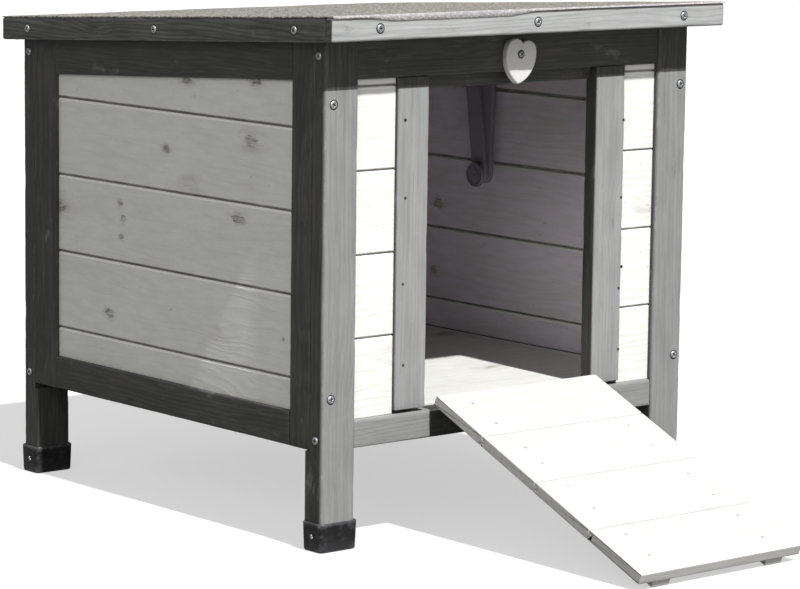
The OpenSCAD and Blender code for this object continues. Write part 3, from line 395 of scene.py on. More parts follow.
def plated_metal(name, plating, stain, metallic, rough):
    """Plated or coated steel: cloudy plating, spots of white rust or bare metal, painted shade in the
    recesses.
    """
    made, node, place, edge = material(name)
    cloud = patches(node, place, 2.381, 4.0, 0.6)
    spots = patches(node, place, 1.111, 3.0, 0.6)
    spots = node("ValToRGB", spots, stops=((0.60, 0.0), (0.70, 1.0)))
    spotted = node("Math", edge, 0.4, 0.25, operation="MULTIPLY_ADD")
    # Painted shade in sunk recesses such as a screw's cross, where it also takes the metal shine out.
    recess_shade_share = node("Math", edge, -1.0, operation="MULTIPLY", use_clamp=True)
    base = coats(node, srgb(plating), (cloud, 0.45, srgb(stain)), (spots, spotted, srgb(stain)),
                 (recess_shade_share, 1.0, srgb("#1b1a1a")))
    bright = node("Math", recess_shade_share, -metallic, metallic, operation="MULTIPLY_ADD") if metallic else metallic
    dull = node("Math", cloud, 0.3, rough, operation="MULTIPLY_ADD")
    normal = relief(node, (cloud, 0.06, 0.6))
    return finish(made, Base_Color=base, Metallic=bright, Roughness=dull, Normal=normal)


# Knots as (y, z, half length, half height) in the faces of the side boards, and how deep they reach into one.
KNOT_DEPTH = 30.0
LEFT_KNOTS = ((224.4, 318.7, 9.0, 6.0), (293.2, 263.8, 7.0, 5.5), (288.5, 250.5, 7.5, 7.0),
              (291.6, 234.0, 6.0, 5.0), (122.0, 267.6, 19.0, 7.5), (97.6, 387.0, 14.0, 9.0),
              (194.6, 379.5, 16.0, 5.0), (309.0, 163.6, 13.0, 8.0), (57.7, 173.0, 3.4, 3.4))
RIGHT_KNOTS = ((323.3, 235.2, 12.0, 9.5), (328.2, 168.7, 11.0, 10.0))
KNOTS = [(x, *knot) for x, side in ((-203.5, LEFT_KNOTS), (194.0, RIGHT_KNOTS)) for knot in side]
# Slate granules are 0.5 to 1 mm wide; these are drawn at 2 mm so that they show in the render.
GRANULE = 2.083

# Softwood brushed with one thin coat of anthracite stain: dull, streaky, pale where it is rubbed, and with
# painted sunlight on the front and upper faces.
frame_paint = stained_wood("anthracite_wood_stain", "#323130", "#3c3b3a", "#474644", "#a9a9a6",
                           ("#acadac", "#c0c1c0", "#858685"), "#d6d0d4", 0.15, 0.25)
# The same stain on the roof's edge boards, out in the weather, with more grain and bare arrises; its lighter,
# greyer tones are painted light for boards that stand clear of the eave's shade.
fascia_paint = stained_wood("anthracite_fascia_stain", "#343433", "#4a4a48", "#5c5c59", "#b6b6b3",
                            ("#a3a4a3", "#b7b8b7", "#858685"), "#d6d0d4", 0.36, 0.6)
# Tongued boards brushed with thin off-white paint: matt, faintly grained, with brown knots, painted shade in
# the joints' lower bevels and a painted highlight on their upper ones.
board_paint = white_wood("off_white_board_paint", "#e3e3de", "#cdccc6", "#a39e96", 0.22, "#eae1eb", KNOTS)
# Lit copy of the board paint on the short front boards: whiter, with hardly any grain, as painted sunlight.
lit_front_board_paint = white_wood("painted_sunlit_front_boards", "#ecece8", "#dcdbd6", "#aaa59d", 0.15, "#eae1eb")
# Off-white paint of the walked-on ramp, darker than the walls' as painted shade for a face turned to the sun,
# and almost without knots.
shade_toned_ramp_paint = white_wood("off_white_ramp_paint", "#cbcac7", "#bebdb9", "#a5a19b", 0.18, rare=0.94)
# Painted plywood of the turn button: even and knotless.
heart_paint = white_wood("white_painted_plywood", "#dcdbd8", "#d0cfcb", "#bdb9b2", 0.15, rare=2.0)
# Mineral felt: dry, rough and speckled, with bare bitumen between the granules.
felt = mineral_felt("mineral_roofing_felt")
# Injection-moulded polypropylene of the foot caps: deep black with a soft sheen, grey scuffs and a painted
# highlight along the rims.
plastic = moulded_plastic("black_moulded_plastic", "#171718", "#77767a")
# Electroplated zinc of screws and hinges: bright, slightly cloudy grey.
zinc = plated_metal("zinc_plated_steel", "#c3c5c7", "#7f8082", 0.75, 0.26)
# Turned and burnished knob: darker, with a faint mauve shine.
knob_steel = plated_metal("burnished_knob_steel", "#a29aa2", "#5d565d", 0.85, 0.22)
# Powder-coated arms of the stay: an even mauve-grey coat with a low gloss and no metal shine.
dark_steel = plated_metal("dark_coated_steel", "#857b85", "#988f98", 0.0, 0.34)
# Painted shade: a nearly black, dull ring round each screw head where it sits in the wood; also the dark sunk
# nail heads of the trims.
slot_shade = moulded_plastic("painted_recess_shade", "#101011", "#2a2a2c")


# Meshes


def wave(position, seed, lengths=(31.0, 67.0, 149.0)):
    """Smooth noise along one direction: the mean of three sines with seeded phases."""
    rng = np.random.default_rng(seed)
    total = np.zeros_like(position, dtype=float)
    for length in lengths:
        total += np.sin(2 * math.pi * position / length + rng.uniform(0, 2 * math.pi))
    return total / len(lengths)


class Mesh:
    """Collects parts of one piece in mm and makes one object of them."""

    def __init__(self):
        self.verts, self.faces, self.grain, self.edge, self.sun = [], [], [], [], []
        self.mats, self.mat_of, self.count = [], [], 0

    def add(self, verts, faces, grain, edge, mat, sun=None):
        """Adds vertices and faces in one material with grain coordinates, edge and painted-sunlight values.
        """
        if mat not in self.mats:
            self.mats.append(mat)
        self.verts.append(verts)
        self.grain.append(grain)
        self.edge.append(edge)
        self.sun.append(np.zeros(len(verts)) if sun is None else sun)
        self.faces += [tuple(int(i) + self.count for i in f) for f in faces]
        self.mat_of += [self.mats.index(mat)] * len(faces)
        self.count += len(verts)

    def build(self, name, body, nodes=()):
        """Makes the object in the part's frame, in metres, and hangs it on its body."""
        verts = (np.concatenate(self.verts) + np.array([0.0, SHIFT_Y, 0.0])) * MM
        mesh = bpy.data.meshes.new(name)
        mesh.from_pydata(verts.tolist(), [], self.faces)
        mesh.attributes.new("grain", "FLOAT_VECTOR", "POINT").data.foreach_set(
            "vector", (np.concatenate(self.grain) * MM).astype(np.float32).ravel())
        for key, values in (("edge", self.edge), ("sun", self.sun)):
            mesh.attributes.new(key, "FLOAT", "POINT").data.foreach_set(
                "value", np.concatenate(values).astype(np.float32))
        for mat in self.mats:
            mesh.materials.append(mat)
        mesh.polygons.foreach_set("material_index", self.mat_of)
        shape = bmesh.new()
        shape.from_mesh(mesh)
        bmesh.ops.recalc_face_normals(shape, faces=shape.faces)
        shape.to_mesh(mesh)
        shape.free()
        mesh.shade_smooth()
        mesh.set_sharp_from_angle(angle=math.radians(50))
        made = bpy.data.objects.new(name, mesh)
        bpy.context.scene.collection.objects.link(made)
        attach(made, body)
        if nodes:
            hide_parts(*nodes)


def rings_to_faces(rings, points):
    """Quads between rings of equal length, with both ends closed by one face."""
    i = np.arange(rings - 1)[:, None] * points
    j = np.arange(points)[None, :]
    nxt = (j + 1) % points
    quads = np.stack([i + j, i + nxt, i + points + nxt, i + points + j], axis=-1).reshape(-1, 4)
    last = (rings - 1) * points
    return quads.tolist() + [tuple(range(points - 1, -1, -1)), tuple(range(last, last + points))]


def rounded(corners, arc=4, support=1.2, marks=None):
    """Outline of (u, v, radius) corners with rounding.

    It gives base points, outward normals, edge values and corner numbers. A convex corner of radius r starts
    r times the tangent of half the turn before the corner. Next to each arc stands one more point on the
    flat, so that shading stays flat. Other corners are single points. An arc's edge value peaks at its
    middle, unless marks gives the corner a value of its own. A flat between two corners of the same mark has
    it throughout.
    """
    marks = marks or {}
    pts = np.array([c[:2] for c in corners], dtype=float)
    area = np.sum(pts[:, 0] * np.roll(pts[:, 1], -1) - np.roll(pts[:, 0], -1) * pts[:, 1])
    ids = list(range(len(corners)))
    if area < 0:
        ids.reverse()
    base, normal, edge, which = [], [], [], []
    for k, i in enumerate(ids):
        before, here, after = pts[ids[k - 1]], pts[i], pts[ids[(k + 1) % len(ids)]]
        a, b = here - before, after - here
        la, lb = np.linalg.norm(a), np.linalg.norm(b)
        a, b = a / la, b / lb
        na, nb = np.array([a[1], -a[0]]), np.array([b[1], -b[0]])
        turn = math.atan2(a[0] * b[1] - a[1] * b[0], a @ b)
        r = corners[i][2]
        if r <= 0 or turn <= 0:
            base.append(here)
            normal.append((na + nb) / (1 + na @ nb))
            edge.append(0.0)
            which.append(i)
            continue
        reach = r * math.tan(turn / 2)
        near_a, near_b = min(support, 0.25 * la), min(support, 0.25 * lb)
        centre = here - a * reach - na * r
        start = math.atan2(na[1], na[0])
        turns = [start + turn * s / arc for s in range(arc + 1)]
        dirs = [np.array([math.cos(t), math.sin(t)]) for t in turns]
        base += [here - a * (reach + near_a)] + [centre + r * d for d in dirs] + [here + b * (reach + near_b)]
        normal += [na] + dirs + [nb]
        peak = [1 - 0.8 * abs(2 * s / arc - 1) for s in range(arc + 1)]
        beside = [marks[i] if i in marks and marks.get(n) == marks[i] else 0.0
                  for n in (ids[k - 1], ids[(k + 1) % len(ids)])]
        edge += [beside[0]] + [marks.get(i, e) for e in peak] + [beside[1]]
        which += [i] * (arc + 3)
    return np.array(base), np.array(normal), np.array(edge), np.array(which)


def box_corners(u0, u1, v0, v1, r):
    """Corners of a rectangle; r is one radius or four, anticlockwise from (u0, v0)."""
    radii = r if isinstance(r, tuple) else (r,) * 4
    return [(u0, v0, radii[0]), (u1, v0, radii[1]), (u1, v1, radii[2]), (u0, v1, radii[3])]


def sweep(mesh, outline, a, b, u, v, mat, grain="x", seed=0, end_r=0.6, wear=0.25, step=7.0,
          slope=0.0, edit=None, sway=0.08, arris=0.3, sun=0.0, end_dirt=0.0, shade=None, room=None, cuts=()):
    """Sweeps an outline from point a to point b, with rounded ends and worn arrises.

    Each ring is the outline at one place along the line. At the ends the rings are drawn in by a quarter
    circle of radius end_r. Worn places draw the arrises in by smooth noise along the line, and sway moves
    every long face in and out a little. slope is how far the end at b rises for each mm of v.
    arris scales the arrises' edge values: rubbed-off paint in the stain, a painted highlight in the white
    paint.
    The painted-sun value is how much painted sunlight the front and upper faces get, and end_dirt how dark
    the end grain is. The painted-shadow stretch is a stretch of the line that gets no painted sunlight, where
    a cast shadow falls, and room a direction in the outline whose faces look into the room; those get values
    below zero.
    cuts are places that get a close pair of rings.
    """
    base, normal, edge, which = outline
    a, b = np.asarray(a, float), np.asarray(b, float)
    length = np.linalg.norm(b - a)
    along = (b - a) / length
    quarter = np.linspace(0, math.pi / 2, 4)
    start = [(0.0, end_r + 0.35)] + [(end_r * (1 - math.cos(t)), end_r * (1 - math.sin(t))) for t in quarter]
    inner = np.arange(end_r + step, length - end_r - step * 0.5, step)
    pos = np.array([p for p, _ in start] + list(inner) + [length - p for p, _ in start[::-1]])
    inset = np.array([d for _, d in start] + [0.0] * len(inner) + [d for _, d in start[::-1]])
    stops = (*(shade or ()), *cuts)
    if stops:
        inside = [s for s in stops if end_r + 1 < s < length - end_r - 1]
        limits = np.array([s + d for s in inside for d in (-CLOSE, CLOSE)])
        order = np.argsort(np.concatenate([pos, limits]))
        pos = np.concatenate([pos, limits])[order]
        inset = np.concatenate([inset, np.zeros(len(limits))])[order]
    worn = np.zeros((len(pos), len(base)))
    for corner in np.unique(which):
        mask = which == corner
        dents = np.clip(wave(pos, seed * 31 + int(corner)) - 0.25, 0, None) * 2.2
        fine = np.clip(wave(pos, seed * 17 + int(corner) + 7, (9.0, 15.0, 23.0)) - 0.35, 0, None)
        worn[:, mask] = (wear * (dents + fine)[:, None] * np.clip(edge[mask], 0, 1)[None, :]
                         + sway * wave(pos, seed * 13 + int(corner), (90.0, 210.0, 330.0))[:, None])
    shape = base[None, :, :] - (inset[:, None] + worn)[:, :, None] * normal[None, :, :]
    if edit:
        edit(shape, pos, which)
    share = (pos / length)[:, None]
    line = pos[:, None] + share * (slope * shape[..., 1])
    verts = (a[None, None, :] + line[..., None] * along + shape[..., 0, None] * np.asarray(u, float)
             + shape[..., 1, None] * np.asarray(v, float)).reshape(-1, 3)
    axes = np.array(GRAIN[grain] if isinstance(grain, str) else grain)
    jitter = np.random.default_rng(seed + 5).uniform(200, 4000, 3)
    edges = np.tile(np.where(edge > 0, edge * arris, edge), len(pos)).reshape(len(pos), -1)
    edges[[2, 3, -4, -3]] = np.maximum(edges[[2, 3, -4, -3]], 0.7 * arris)
    edges[[0, 1, -2, -1]] = 0.0
    if end_dirt:
        edges[[0, 1, 2, -3, -2, -1]] = -end_dirt
    # Painted sunlight on the faces that look forward or up; none on the end caps or in the painted shadow.
    forward, upward = -(normal[:, 0] * u[1] + normal[:, 1] * v[1]), normal[:, 0] * u[2] + normal[:, 1] * v[2]
    front = np.clip(np.maximum(forward, upward), 0, 1) * sun
    sunlit_rings = np.ones(len(pos))
    sunlit_rings[[0, 1, -2, -1]] = 0.0
    if shade:
        sunlit_rings[(pos > shade[0]) & (pos < shade[1])] = 0.0
    painted_sun_values = sunlit_rings[:, None] * front[None, :]
    if room:
        painted_sun_values = painted_sun_values - np.clip(normal @ np.array(room, float), 0, 1)[None, :]
    mesh.add(verts, rings_to_faces(len(pos), len(base)), verts @ axes.T + jitter, edges.ravel(), mat,
             painted_sun_values.ravel())


def lathe(mesh, profile, centre, axis, mat, around=32, shape=None):
    """Turns a profile of (radius, height) round an axis; shape may change the radius by angle and height."""
    axis = np.asarray(axis, float)
    side = np.cross(axis, X if abs(axis[0]) < 0.9 else Y)
    side /= np.linalg.norm(side)
    other = np.cross(axis, side)
    prof = np.array(profile, float)
    angle = np.linspace(0, 2 * math.pi, around, endpoint=False)
    radius = np.repeat(prof[:, 0][:, None], around, axis=1)
    height = np.repeat(prof[:, 1][:, None], around, axis=1)
    sunk = np.zeros_like(height)
    if shape:
        flat = height
        radius, height = shape(radius, height, angle[None, :])
        sunk = flat - height
    verts = (np.asarray(centre, float) + height[..., None] * axis
             + (radius * np.cos(angle))[..., None] * side + (radius * np.sin(angle))[..., None] * other)
    verts = verts.reshape(-1, 3)
    edge = np.repeat((prof[:, 0] > 0.8 * prof[:, 0].max()).astype(float), around)
    # Points that the shape sinks get -1: painted shade in the recess.
    edge = np.where(sunk.ravel() > 0.5 * max(sunk.max(), 0.1), -1.0, edge)
    mesh.add(verts, rings_to_faces(len(prof), around), verts - np.asarray(centre) + 300.0, edge, mat)


def cross_recess(top, reach, width, depth):
    """Shape function of a screw head whose flat top is sunk along a cross."""

    def shape(radius, height, angle):
        """Sinks the points of the flat top that lie on the cross."""
        x, y = np.abs(radius * np.cos(angle)), np.abs(radius * np.sin(angle))
        arm = np.maximum(np.clip(1 - y / width, 0, 1), np.clip(1 - x / width, 0, 1))
        inside = np.clip((reach - radius) / (0.25 * reach), 0, 1)
        sunk = depth * np.clip(arm * 2.2, 0, 1) * inside * (height > top - 0.75)
        return radius, height - sunk

    return shape


def screw_head(mesh, centre, axis, r=3.5, h=1.4, spin=0.3):
    """Domed cross-head screw on a face, with a dark ring of painted shade where it sits in the wood."""
    rise = [(0.0, 1.0), (0.12, 1.0), (0.24, 0.995), (0.36, 0.985), (0.48, 0.96), (0.60, 0.91), (0.72, 0.83),
            (0.84, 0.68), (0.94, 0.45), (1.0, 0.2), (1.0, 0.0)]
    profile = [(max(r * a, 0.02), h * b) for a, b in rise]
    cross = cross_recess(h, 0.62 * r, 0.20 * r, 0.62 * h)

    def turned(radius, height, angle):
        """Turns the cross by spin."""
        _, sunk = cross(radius, height, angle + spin)
        return radius, sunk

    lathe(mesh, profile, centre, axis, zinc, 40, turned)
    # Dark ring of painted shade round the head.
    rim = [(0.05, 0.0), (r, 0.0), (r + 0.25, 0.22), (r + 0.75, 0.20), (r + 0.95, 0.05), (r + 0.95, -0.3),
           (0.05, -0.3)]
    lifted = np.asarray(centre, float) + np.asarray(axis, float) * 0.1
    lathe(mesh, rim, lifted, axis, slot_shade, 32)


def bolt(mesh, centre, axis, r, h, round_r, around):
    """Zinc-plated disc or bar of radius r and height h with rounded rims."""
    t = np.linspace(0, math.pi / 2, 4)
    low = [(r - round_r * (1 - math.sin(s)), round_r * (1 - math.cos(s))) for s in t]
    high = [(r - round_r * (1 - math.cos(s)), h - round_r * (1 - math.sin(s))) for s in t]
    profile = [(0.05, 0.0), (r * 0.6, 0.0)] + low + high + [(r * 0.6, h), (0.05, h)]
    lathe(mesh, profile, centre, axis, zinc, around)


def timber(name, node, body, mat, *parts):
    """One object of one or several swept parts, each given as (outline, a, b, u, v, options)."""
    mesh = Mesh()
    for outline, a, b, u, v, options in parts:
        sweep(mesh, outline, a, b, u, v, mat, **options)
    mesh.build(name, body, (node,))


def tongued(t, low, high, groove, tongue, c):
    """Corners of a tongued board's cross-section in (thickness, height), as in the CAD.

    c is the bevels' size and gap the joint's half gap. tw and gw are half the tongue's and the groove's
    thickness and tl is their depth.
    """
    mid, gap, tw, gw, tl = t / 2, 0.25, 1.5, 1.65, 4.0
    a = low + gap if groove else low
    b = high - gap if tongue else high
    bottom = ([(0, a + c, 0.5), (c, a, 0.4), (mid - gw, a, 0), (mid - gw, a + tl, 0), (mid + gw, a + tl, 0),
               (mid + gw, a, 0), (t - c, a, 0.4), (t, a + c, 0.5)] if groove else [(0, a, 0.5), (t, a, 0.5)])
    top = ([(t, b - c, 0.5), (t - c, b, 0.4), (mid + tw, b, 0), (mid + tw, b + tl, 0), (mid - tw, b + tl, 0),
            (mid - tw, b, 0), (c, b, 0.4), (0, b - c, 0.5)] if tongue else [(t, b, 0.5), (0, b, 0.5)])
    return bottom + top


def board_outline(t, low, high, first, last, place, c=1.2, arc=3, dirt_and_bevel_shade=1.0):
    """Outline of a tongued board in place: painted shade in the lower bevels, painted light on the upper."""
    corners = [place(u, v) + (r,) for u, v, r in tongued(t, low, high, not first, not last, c)]
    lower, count = (0 if first else 8), len(corners)
    marks = {i: -dirt_and_bevel_shade for i in (0, 1, 6, 7) if not first}
    if not last:
        base = 2 if first else lower
        marks.update({i: 0.9 for i in (base, base + 1, count - 2, count - 1)})
    return rounded(corners, arc, 1.0, marks)


# House frame


def leg(name, sx, sy, seed, shade=None):
    """Leg with rounded corners, notched above the panel's lower edge for the side panel.

    sx and sy are the leg's side, -1 at the left and in front, and the painted-shadow height is where the
    eave's cast shadow begins: above it the front face gets no painted sunlight.
    """
    local = [(0, 0, LEG_R), (LEG_W, 0, LEG_R), (LEG_W, LEG_D, LEG_R), (FRAME_T, LEG_D, 0),
             (FRAME_T, LEG_D - SEAT, 0), (0, LEG_D - SEAT, 0.9)]
    corners = [(sx * (HALF_W - x), y if sy < 0 else HOUSE_D - y, r) for x, y, r in local]
    outline = rounded(corners, arc=5)
    full_y = LEG_D if sy < 0 else HOUSE_D - LEG_D
    notch = PANEL_Z - CAP_FLOOR - CLOSE

    def fill_notch(shape, pos, which):
        """Takes the notch's two outer corners out to the leg's faces in the rings below the panel."""
        low = pos < notch
        shape[np.ix_(low, which == 4)] = (sx * HALF_W, full_y)
        flat = np.ix_(low, which == 5)
        part = shape[flat]
        part[..., 0] = sx * HALF_W
        shape[flat] = part

    mesh = Mesh()
    top = wall_z(0) if sy < 0 else wall_z(HOUSE_D)
    lift = TAN_SLOPE * HOUSE_D if sy > 0 else 0.0
    # The front legs get painted sunlight on their front faces below the eave's painted shadow.
    sweep(mesh, outline, (0, 0, CAP_FLOOR), (0, 0, top + lift), X, Y, frame_paint, "z", seed, end_r=0.5,
          wear=0.35, step=6.0, slope=-TAN_SLOPE, edit=fill_notch, arris=1.0, sun=0.50 if sy < 0 else 0.0,
          shade=(shade - CAP_FLOOR, 2 * WALL_H) if shade else None, cuts=(notch,))
    mesh.build(name + "_post", "house", (name,))


leg("front_left_leg", -1, -1, 11, PAINTED_SHADOW_LEGS[0])
leg("front_right_leg", 1, -1, 12, PAINTED_SHADOW_LEGS[1])
leg("rear_left_leg", -1, 1, 13)
leg("rear_right_leg", 1, 1, 14)


def foot_caps():
    """Four moulded caps: outer wall with a slight flare, rounded rim, inner wall and closed base.

    Each stage is a height and how far the ring there is drawn in from the cap's greatest outline.
    """
    mesh = Mesh()
    wall, mid, corner_r = 2.5, LEG_D / 2, 5.5
    half_w, half_d = LEG_W / 2 + wall, mid + wall
    stages = [(0.0, 9.0), (0.0, 3.0), (0.35, 1.7), (1.4, 0.95), (4.0, 0.75), (12.0, 0.4), (20.0, 0.12),
              (23.6, 0.0), (24.6, 0.25), (25.0, 0.8), (25.0, 1.6), (24.6, 2.2), (23.5, 2.42), (3.2, 2.42),
              (3.2, 9.0)]
    for k, (sx, y) in enumerate([(-1, mid), (1, mid), (-1, HOUSE_D - mid), (1, HOUSE_D - mid)]):
        x = sx * (HALF_W - LEG_W / 2)
        base, normal, edge, _ = rounded(box_corners(-half_w, half_w, -half_d, half_d, corner_r), 6, 2.0)
        rings = []
        for z, inset in stages:
            ring = base - inset * normal if inset <= 5.4 else base * (1 - inset / 22.0)
            rings.append(np.column_stack([ring[:, 0] + x, ring[:, 1] + y, np.full(len(ring), z)]))
        verts = np.concatenate(rings)
        # Rings at the rim and at the base get high edge values: scuffs there, partly a painted highlight
        # along the rim.
        values = np.concatenate([np.clip(edge * 0.6 + (0.9 if z > 23 or z < 1.5 else 0.0), 0, 1)
                                 for z, _ in stages])
        grain = verts + np.array([97.0 * k, 31.0 * k, 0])
        mesh.add(verts, rings_to_faces(len(stages), len(base)), grain, values, plastic)
        cap_pin(mesh, (x + sx * (half_w - 0.75), y - 0.8, 13.0), (sx, 0, 0))
    mesh.build("foot_caps_moulded", "house", ("foot_caps",))


def cap_pin(mesh, centre, axis):
    """Flat bright pin that holds a cap on its leg, seen as a narrow lozenge."""

    def squeeze(radius, height, angle):
        """Narrows the dome in one direction."""
        return radius * (0.35 + 0.65 * np.abs(np.cos(angle - 0.5))), height

    dome = [(0.05, 0.55), (0.9, 0.55), (1.5, 0.85), (2.0, 0.8), (2.3, 0.45), (2.4, 0.0), (0.5, -0.2)]
    lathe(mesh, dome, centre, axis, zinc, 24, squeeze)


foot_caps()


def panel(side, sx):
    """Side panel: two stiles, two rails and five tongued boards, with a slab behind the sloping top rail."""
    out = sx * HALF_W
    inn = sx * (HALF_W - FRAME_T)
    x0, x1 = min(out, inn), max(out, inn)
    seed = 20 if sx < 0 else 60
    y_seat, y_back = LEG_D - SEAT, HOUSE_D - LEG_D + SEAT
    stiles = (("front_stile", y_seat, FIELD_FRONT), ("rear_stile", FIELD_REAR, y_back))
    for k, (part, y0, y1) in enumerate(stiles):
        timber(f"{side}_{part}_wood", f"{side}_{part}", "house", frame_paint,
               (rounded(box_corners(x0, x1, y0, y1, 1.3)), (0, 0, PANEL_Z), (0, 0, wall_z(0)), X, Y,
                dict(grain="z", seed=seed + k, slope=-TAN_SLOPE, room=(-sx, 0))))
    slope = np.array([0.0, FIELD_REAR - FIELD_FRONT, wall_z(FIELD_REAR) - wall_z(FIELD_FRONT)])
    a = np.array([0.0, FIELD_FRONT, wall_z(FIELD_FRONT)])
    timber(f"{side}_top_rail_wood", f"{side}_top_rail", "house", frame_paint,
           (rounded(box_corners(x0, x1, -TOP_RAIL_H, 0, 1.3)), a, a + slope, X, Z,
            dict(grain="y", seed=seed + 2, room=(-sx, 0))))
    timber(f"{side}_bottom_rail_wood", f"{side}_bottom_rail", "house", frame_paint,
           (rounded(box_corners(x0, x1, PANEL_Z, RAIL_TOP, 1.3)), (0, FIELD_FRONT, 0), (0, FIELD_REAR, 0),
            X, Z, dict(grain="y", seed=seed + 3, room=(-sx, 0))))
    heights = (RAIL_TOP - BOARD_SEAT,) + JOINTS + (FIELD_TOP,)
    y_in, y_out = FIELD_FRONT - BOARD_SEAT, FIELD_REAR + BOARD_SEAT
    xb = -HALF_W + RECESS
    for i in range(5):
        top = heights[i + 1]
        if i == 4:
            top = wall_z(FIELD_REAR) - TOP_RAIL_H + SLAB_SEAT
        outline = board_outline(BOARD_T, heights[i], top, i == 0, i == 4, lambda u, v: (-sx * (xb + u), v))
        parts = [(outline, (0, y_in, 0), (0, y_out, 0), X, Z,
                  dict(grain="y", seed=seed + 5 + i, wear=0.10, sway=0.05, arris=1.0, room=(-sx, 0)))]
        if i == 4:
            slab = box_corners(sx * -xb - sx * BOARD_T, sx * -xb, 0, FIELD_TOP - top, 0.3)
            parts.append((rounded(slab, 2, 0.5), (0, y_in, top - 1.0), (0, y_out, top - 1.0), X, Z,
                          dict(grain="y", seed=seed + 5 + i, wear=0, sway=0, room=(-sx, 0))))
        timber(f"{side}_board_{i + 1}_wood", f"{side}_board_{i + 1}", "house", board_paint, *parts)


panel("left", -1)
panel("right", 1)


def back_panel():
    """Back panel, set 2 mm in between the rear legs."""
    y0, y1 = BACK_FACE - FRAME_T, BACK_FACE
    leg_x = HALF_W - LEG_W
    high = wall_z(BACK_FACE)
    stile = []
    for k, sx in enumerate((-1, 1)):
        xs = sorted((sx * BACK_FIELD_X, sx * leg_x))
        stile.append((rounded(box_corners(xs[0], xs[1], y0, y1, 1.2)), (0, 0, PANEL_Z), (0, 0, high), X, Y,
                      dict(grain="z", seed=100 + k, room=(0, -1))))
    timber("back_stiles_wood", "back_stiles", "house", frame_paint, *stile)
    low = high - TOP_RAIL_H
    for k, (part, z0, z1) in enumerate((("top_rail", low, high), ("bottom_rail", PANEL_Z, RAIL_TOP))):
        timber(f"back_{part}_wood", f"back_{part}", "house", frame_paint,
               (rounded(box_corners(y0, y1, z0, z1, 1.2)), (-BACK_FIELD_X, 0, 0), (BACK_FIELD_X, 0, 0), Y, Z,
                dict(grain="x", seed=104 + k, room=(-1, 0))))
    heights = (RAIL_TOP - BOARD_SEAT,) + JOINTS + (low + BOARD_SEAT,)
    parts = []
    for i in range(5):
        outline = board_outline(BOARD_T, heights[i], heights[i + 1], i == 0, i == 4,
                                lambda u, v: (BACK_FACE - RECESS - u, v))
        parts.append((outline, (-BACK_FIELD_X - BOARD_SEAT, 0, 0), (BACK_FIELD_X + BOARD_SEAT, 0, 0), Y, Z,
                      dict(grain="x", seed=110 + i, wear=0.10, sway=0.05, arris=1.0, room=(-1, 0))))
    timber("back_boards_wood", "back_boards", "house", board_paint, *parts)


back_panel()


def front_wall():
    """Lintel, bottom rail, door trims, door stop and the short boards on both sides of the doorway."""
    x, y1 = HALF_W - LEG_W, FRONT_SET + FRAME_T
    lintel = box_corners(FRONT_SET, y1, LINTEL_Z, wall_z(y1) - 0.2, (2.0, 1.0, 0.8, 0.8))
    timber("lintel_wood", "lintel", "house", frame_paint,
           (rounded(lintel), (-x, 0, 0), (x, 0, 0), Y, Z, dict(grain="x", seed=120)))
    rail = box_corners(FRONT_SET, y1, PANEL_Z, FRONT_RAIL_TOP, (1.2, 1.2, 1.2, 3.0))
    # Painted sunlight on the rail's front, with a painted shadow where the ramp casts its shadow.
    timber("front_bottom_rail_wood", "front_bottom_rail", "house", frame_paint,
           (rounded(rail), (-x, 0, 0), (x, 0, 0), Y, Z,
            dict(grain="x", seed=121, sun=0.50, arris=0.6, shade=tuple(s + x for s in PAINTED_SHADOW_RAIL))))
    left, right = DOOR_X - DOORWAY_W / 2, DOOR_X + DOORWAY_W / 2
    trim_gap = 3
    # Painted sunlight on the trims below the eave's painted shadow.
    trims = [(rounded(box_corners(x0, x0 + TRIM_W, FRONT_SET, FRONT_SET + TRIM_T, 1.8)),
              (0, 0, FRONT_RAIL_TOP + trim_gap), (0, 0, LINTEL_Z), X, Y,
              dict(grain="z", seed=122 + k, wear=0.35, sun=0.60, arris=0.9,
                   shade=(PAINTED_SHADOW_TRIMS[k] - FRONT_RAIL_TOP - trim_gap, WALL_H)))
             for k, x0 in enumerate((left - TRIM_W, right))]
    timber("door_trims_wood", "door_trims", "house", frame_paint, *trims)
    timber("door_stop_wood", "door_stop", "house", frame_paint,
           (rounded(box_corners(STOP_Y, y1, LINTEL_Z - STOP_H, LINTEL_Z, 1.0)), (left, 0, 0), (right, 0, 0),
            Y, Z, dict(grain="x", seed=126)))
    heights = (FRONT_RAIL_TOP,) + FRONT_JOINTS + (LINTEL_Z,)
    boards = []
    for k, (x0, x1) in enumerate(((-x, left - TRIM_W), (right + TRIM_W, x))):
        for i in range(5):
            outline = board_outline(BOARD_T, heights[i], heights[i + 1], i == 0, i == 4,
                                    lambda u, v: (FRONT_BOARD_Y + u, v), 0.9)
            boards.append((outline, (x0, 0, 0), (x1, 0, 0), Y, Z,
                           dict(grain="x", seed=130 + 7 * k + i, wear=0.08, sway=0.04, step=4.0, arris=1.0,
                                room=(1, 0))))
    timber("front_boards_wood", "front_boards", "house", lit_front_board_paint, *boards)


front_wall()


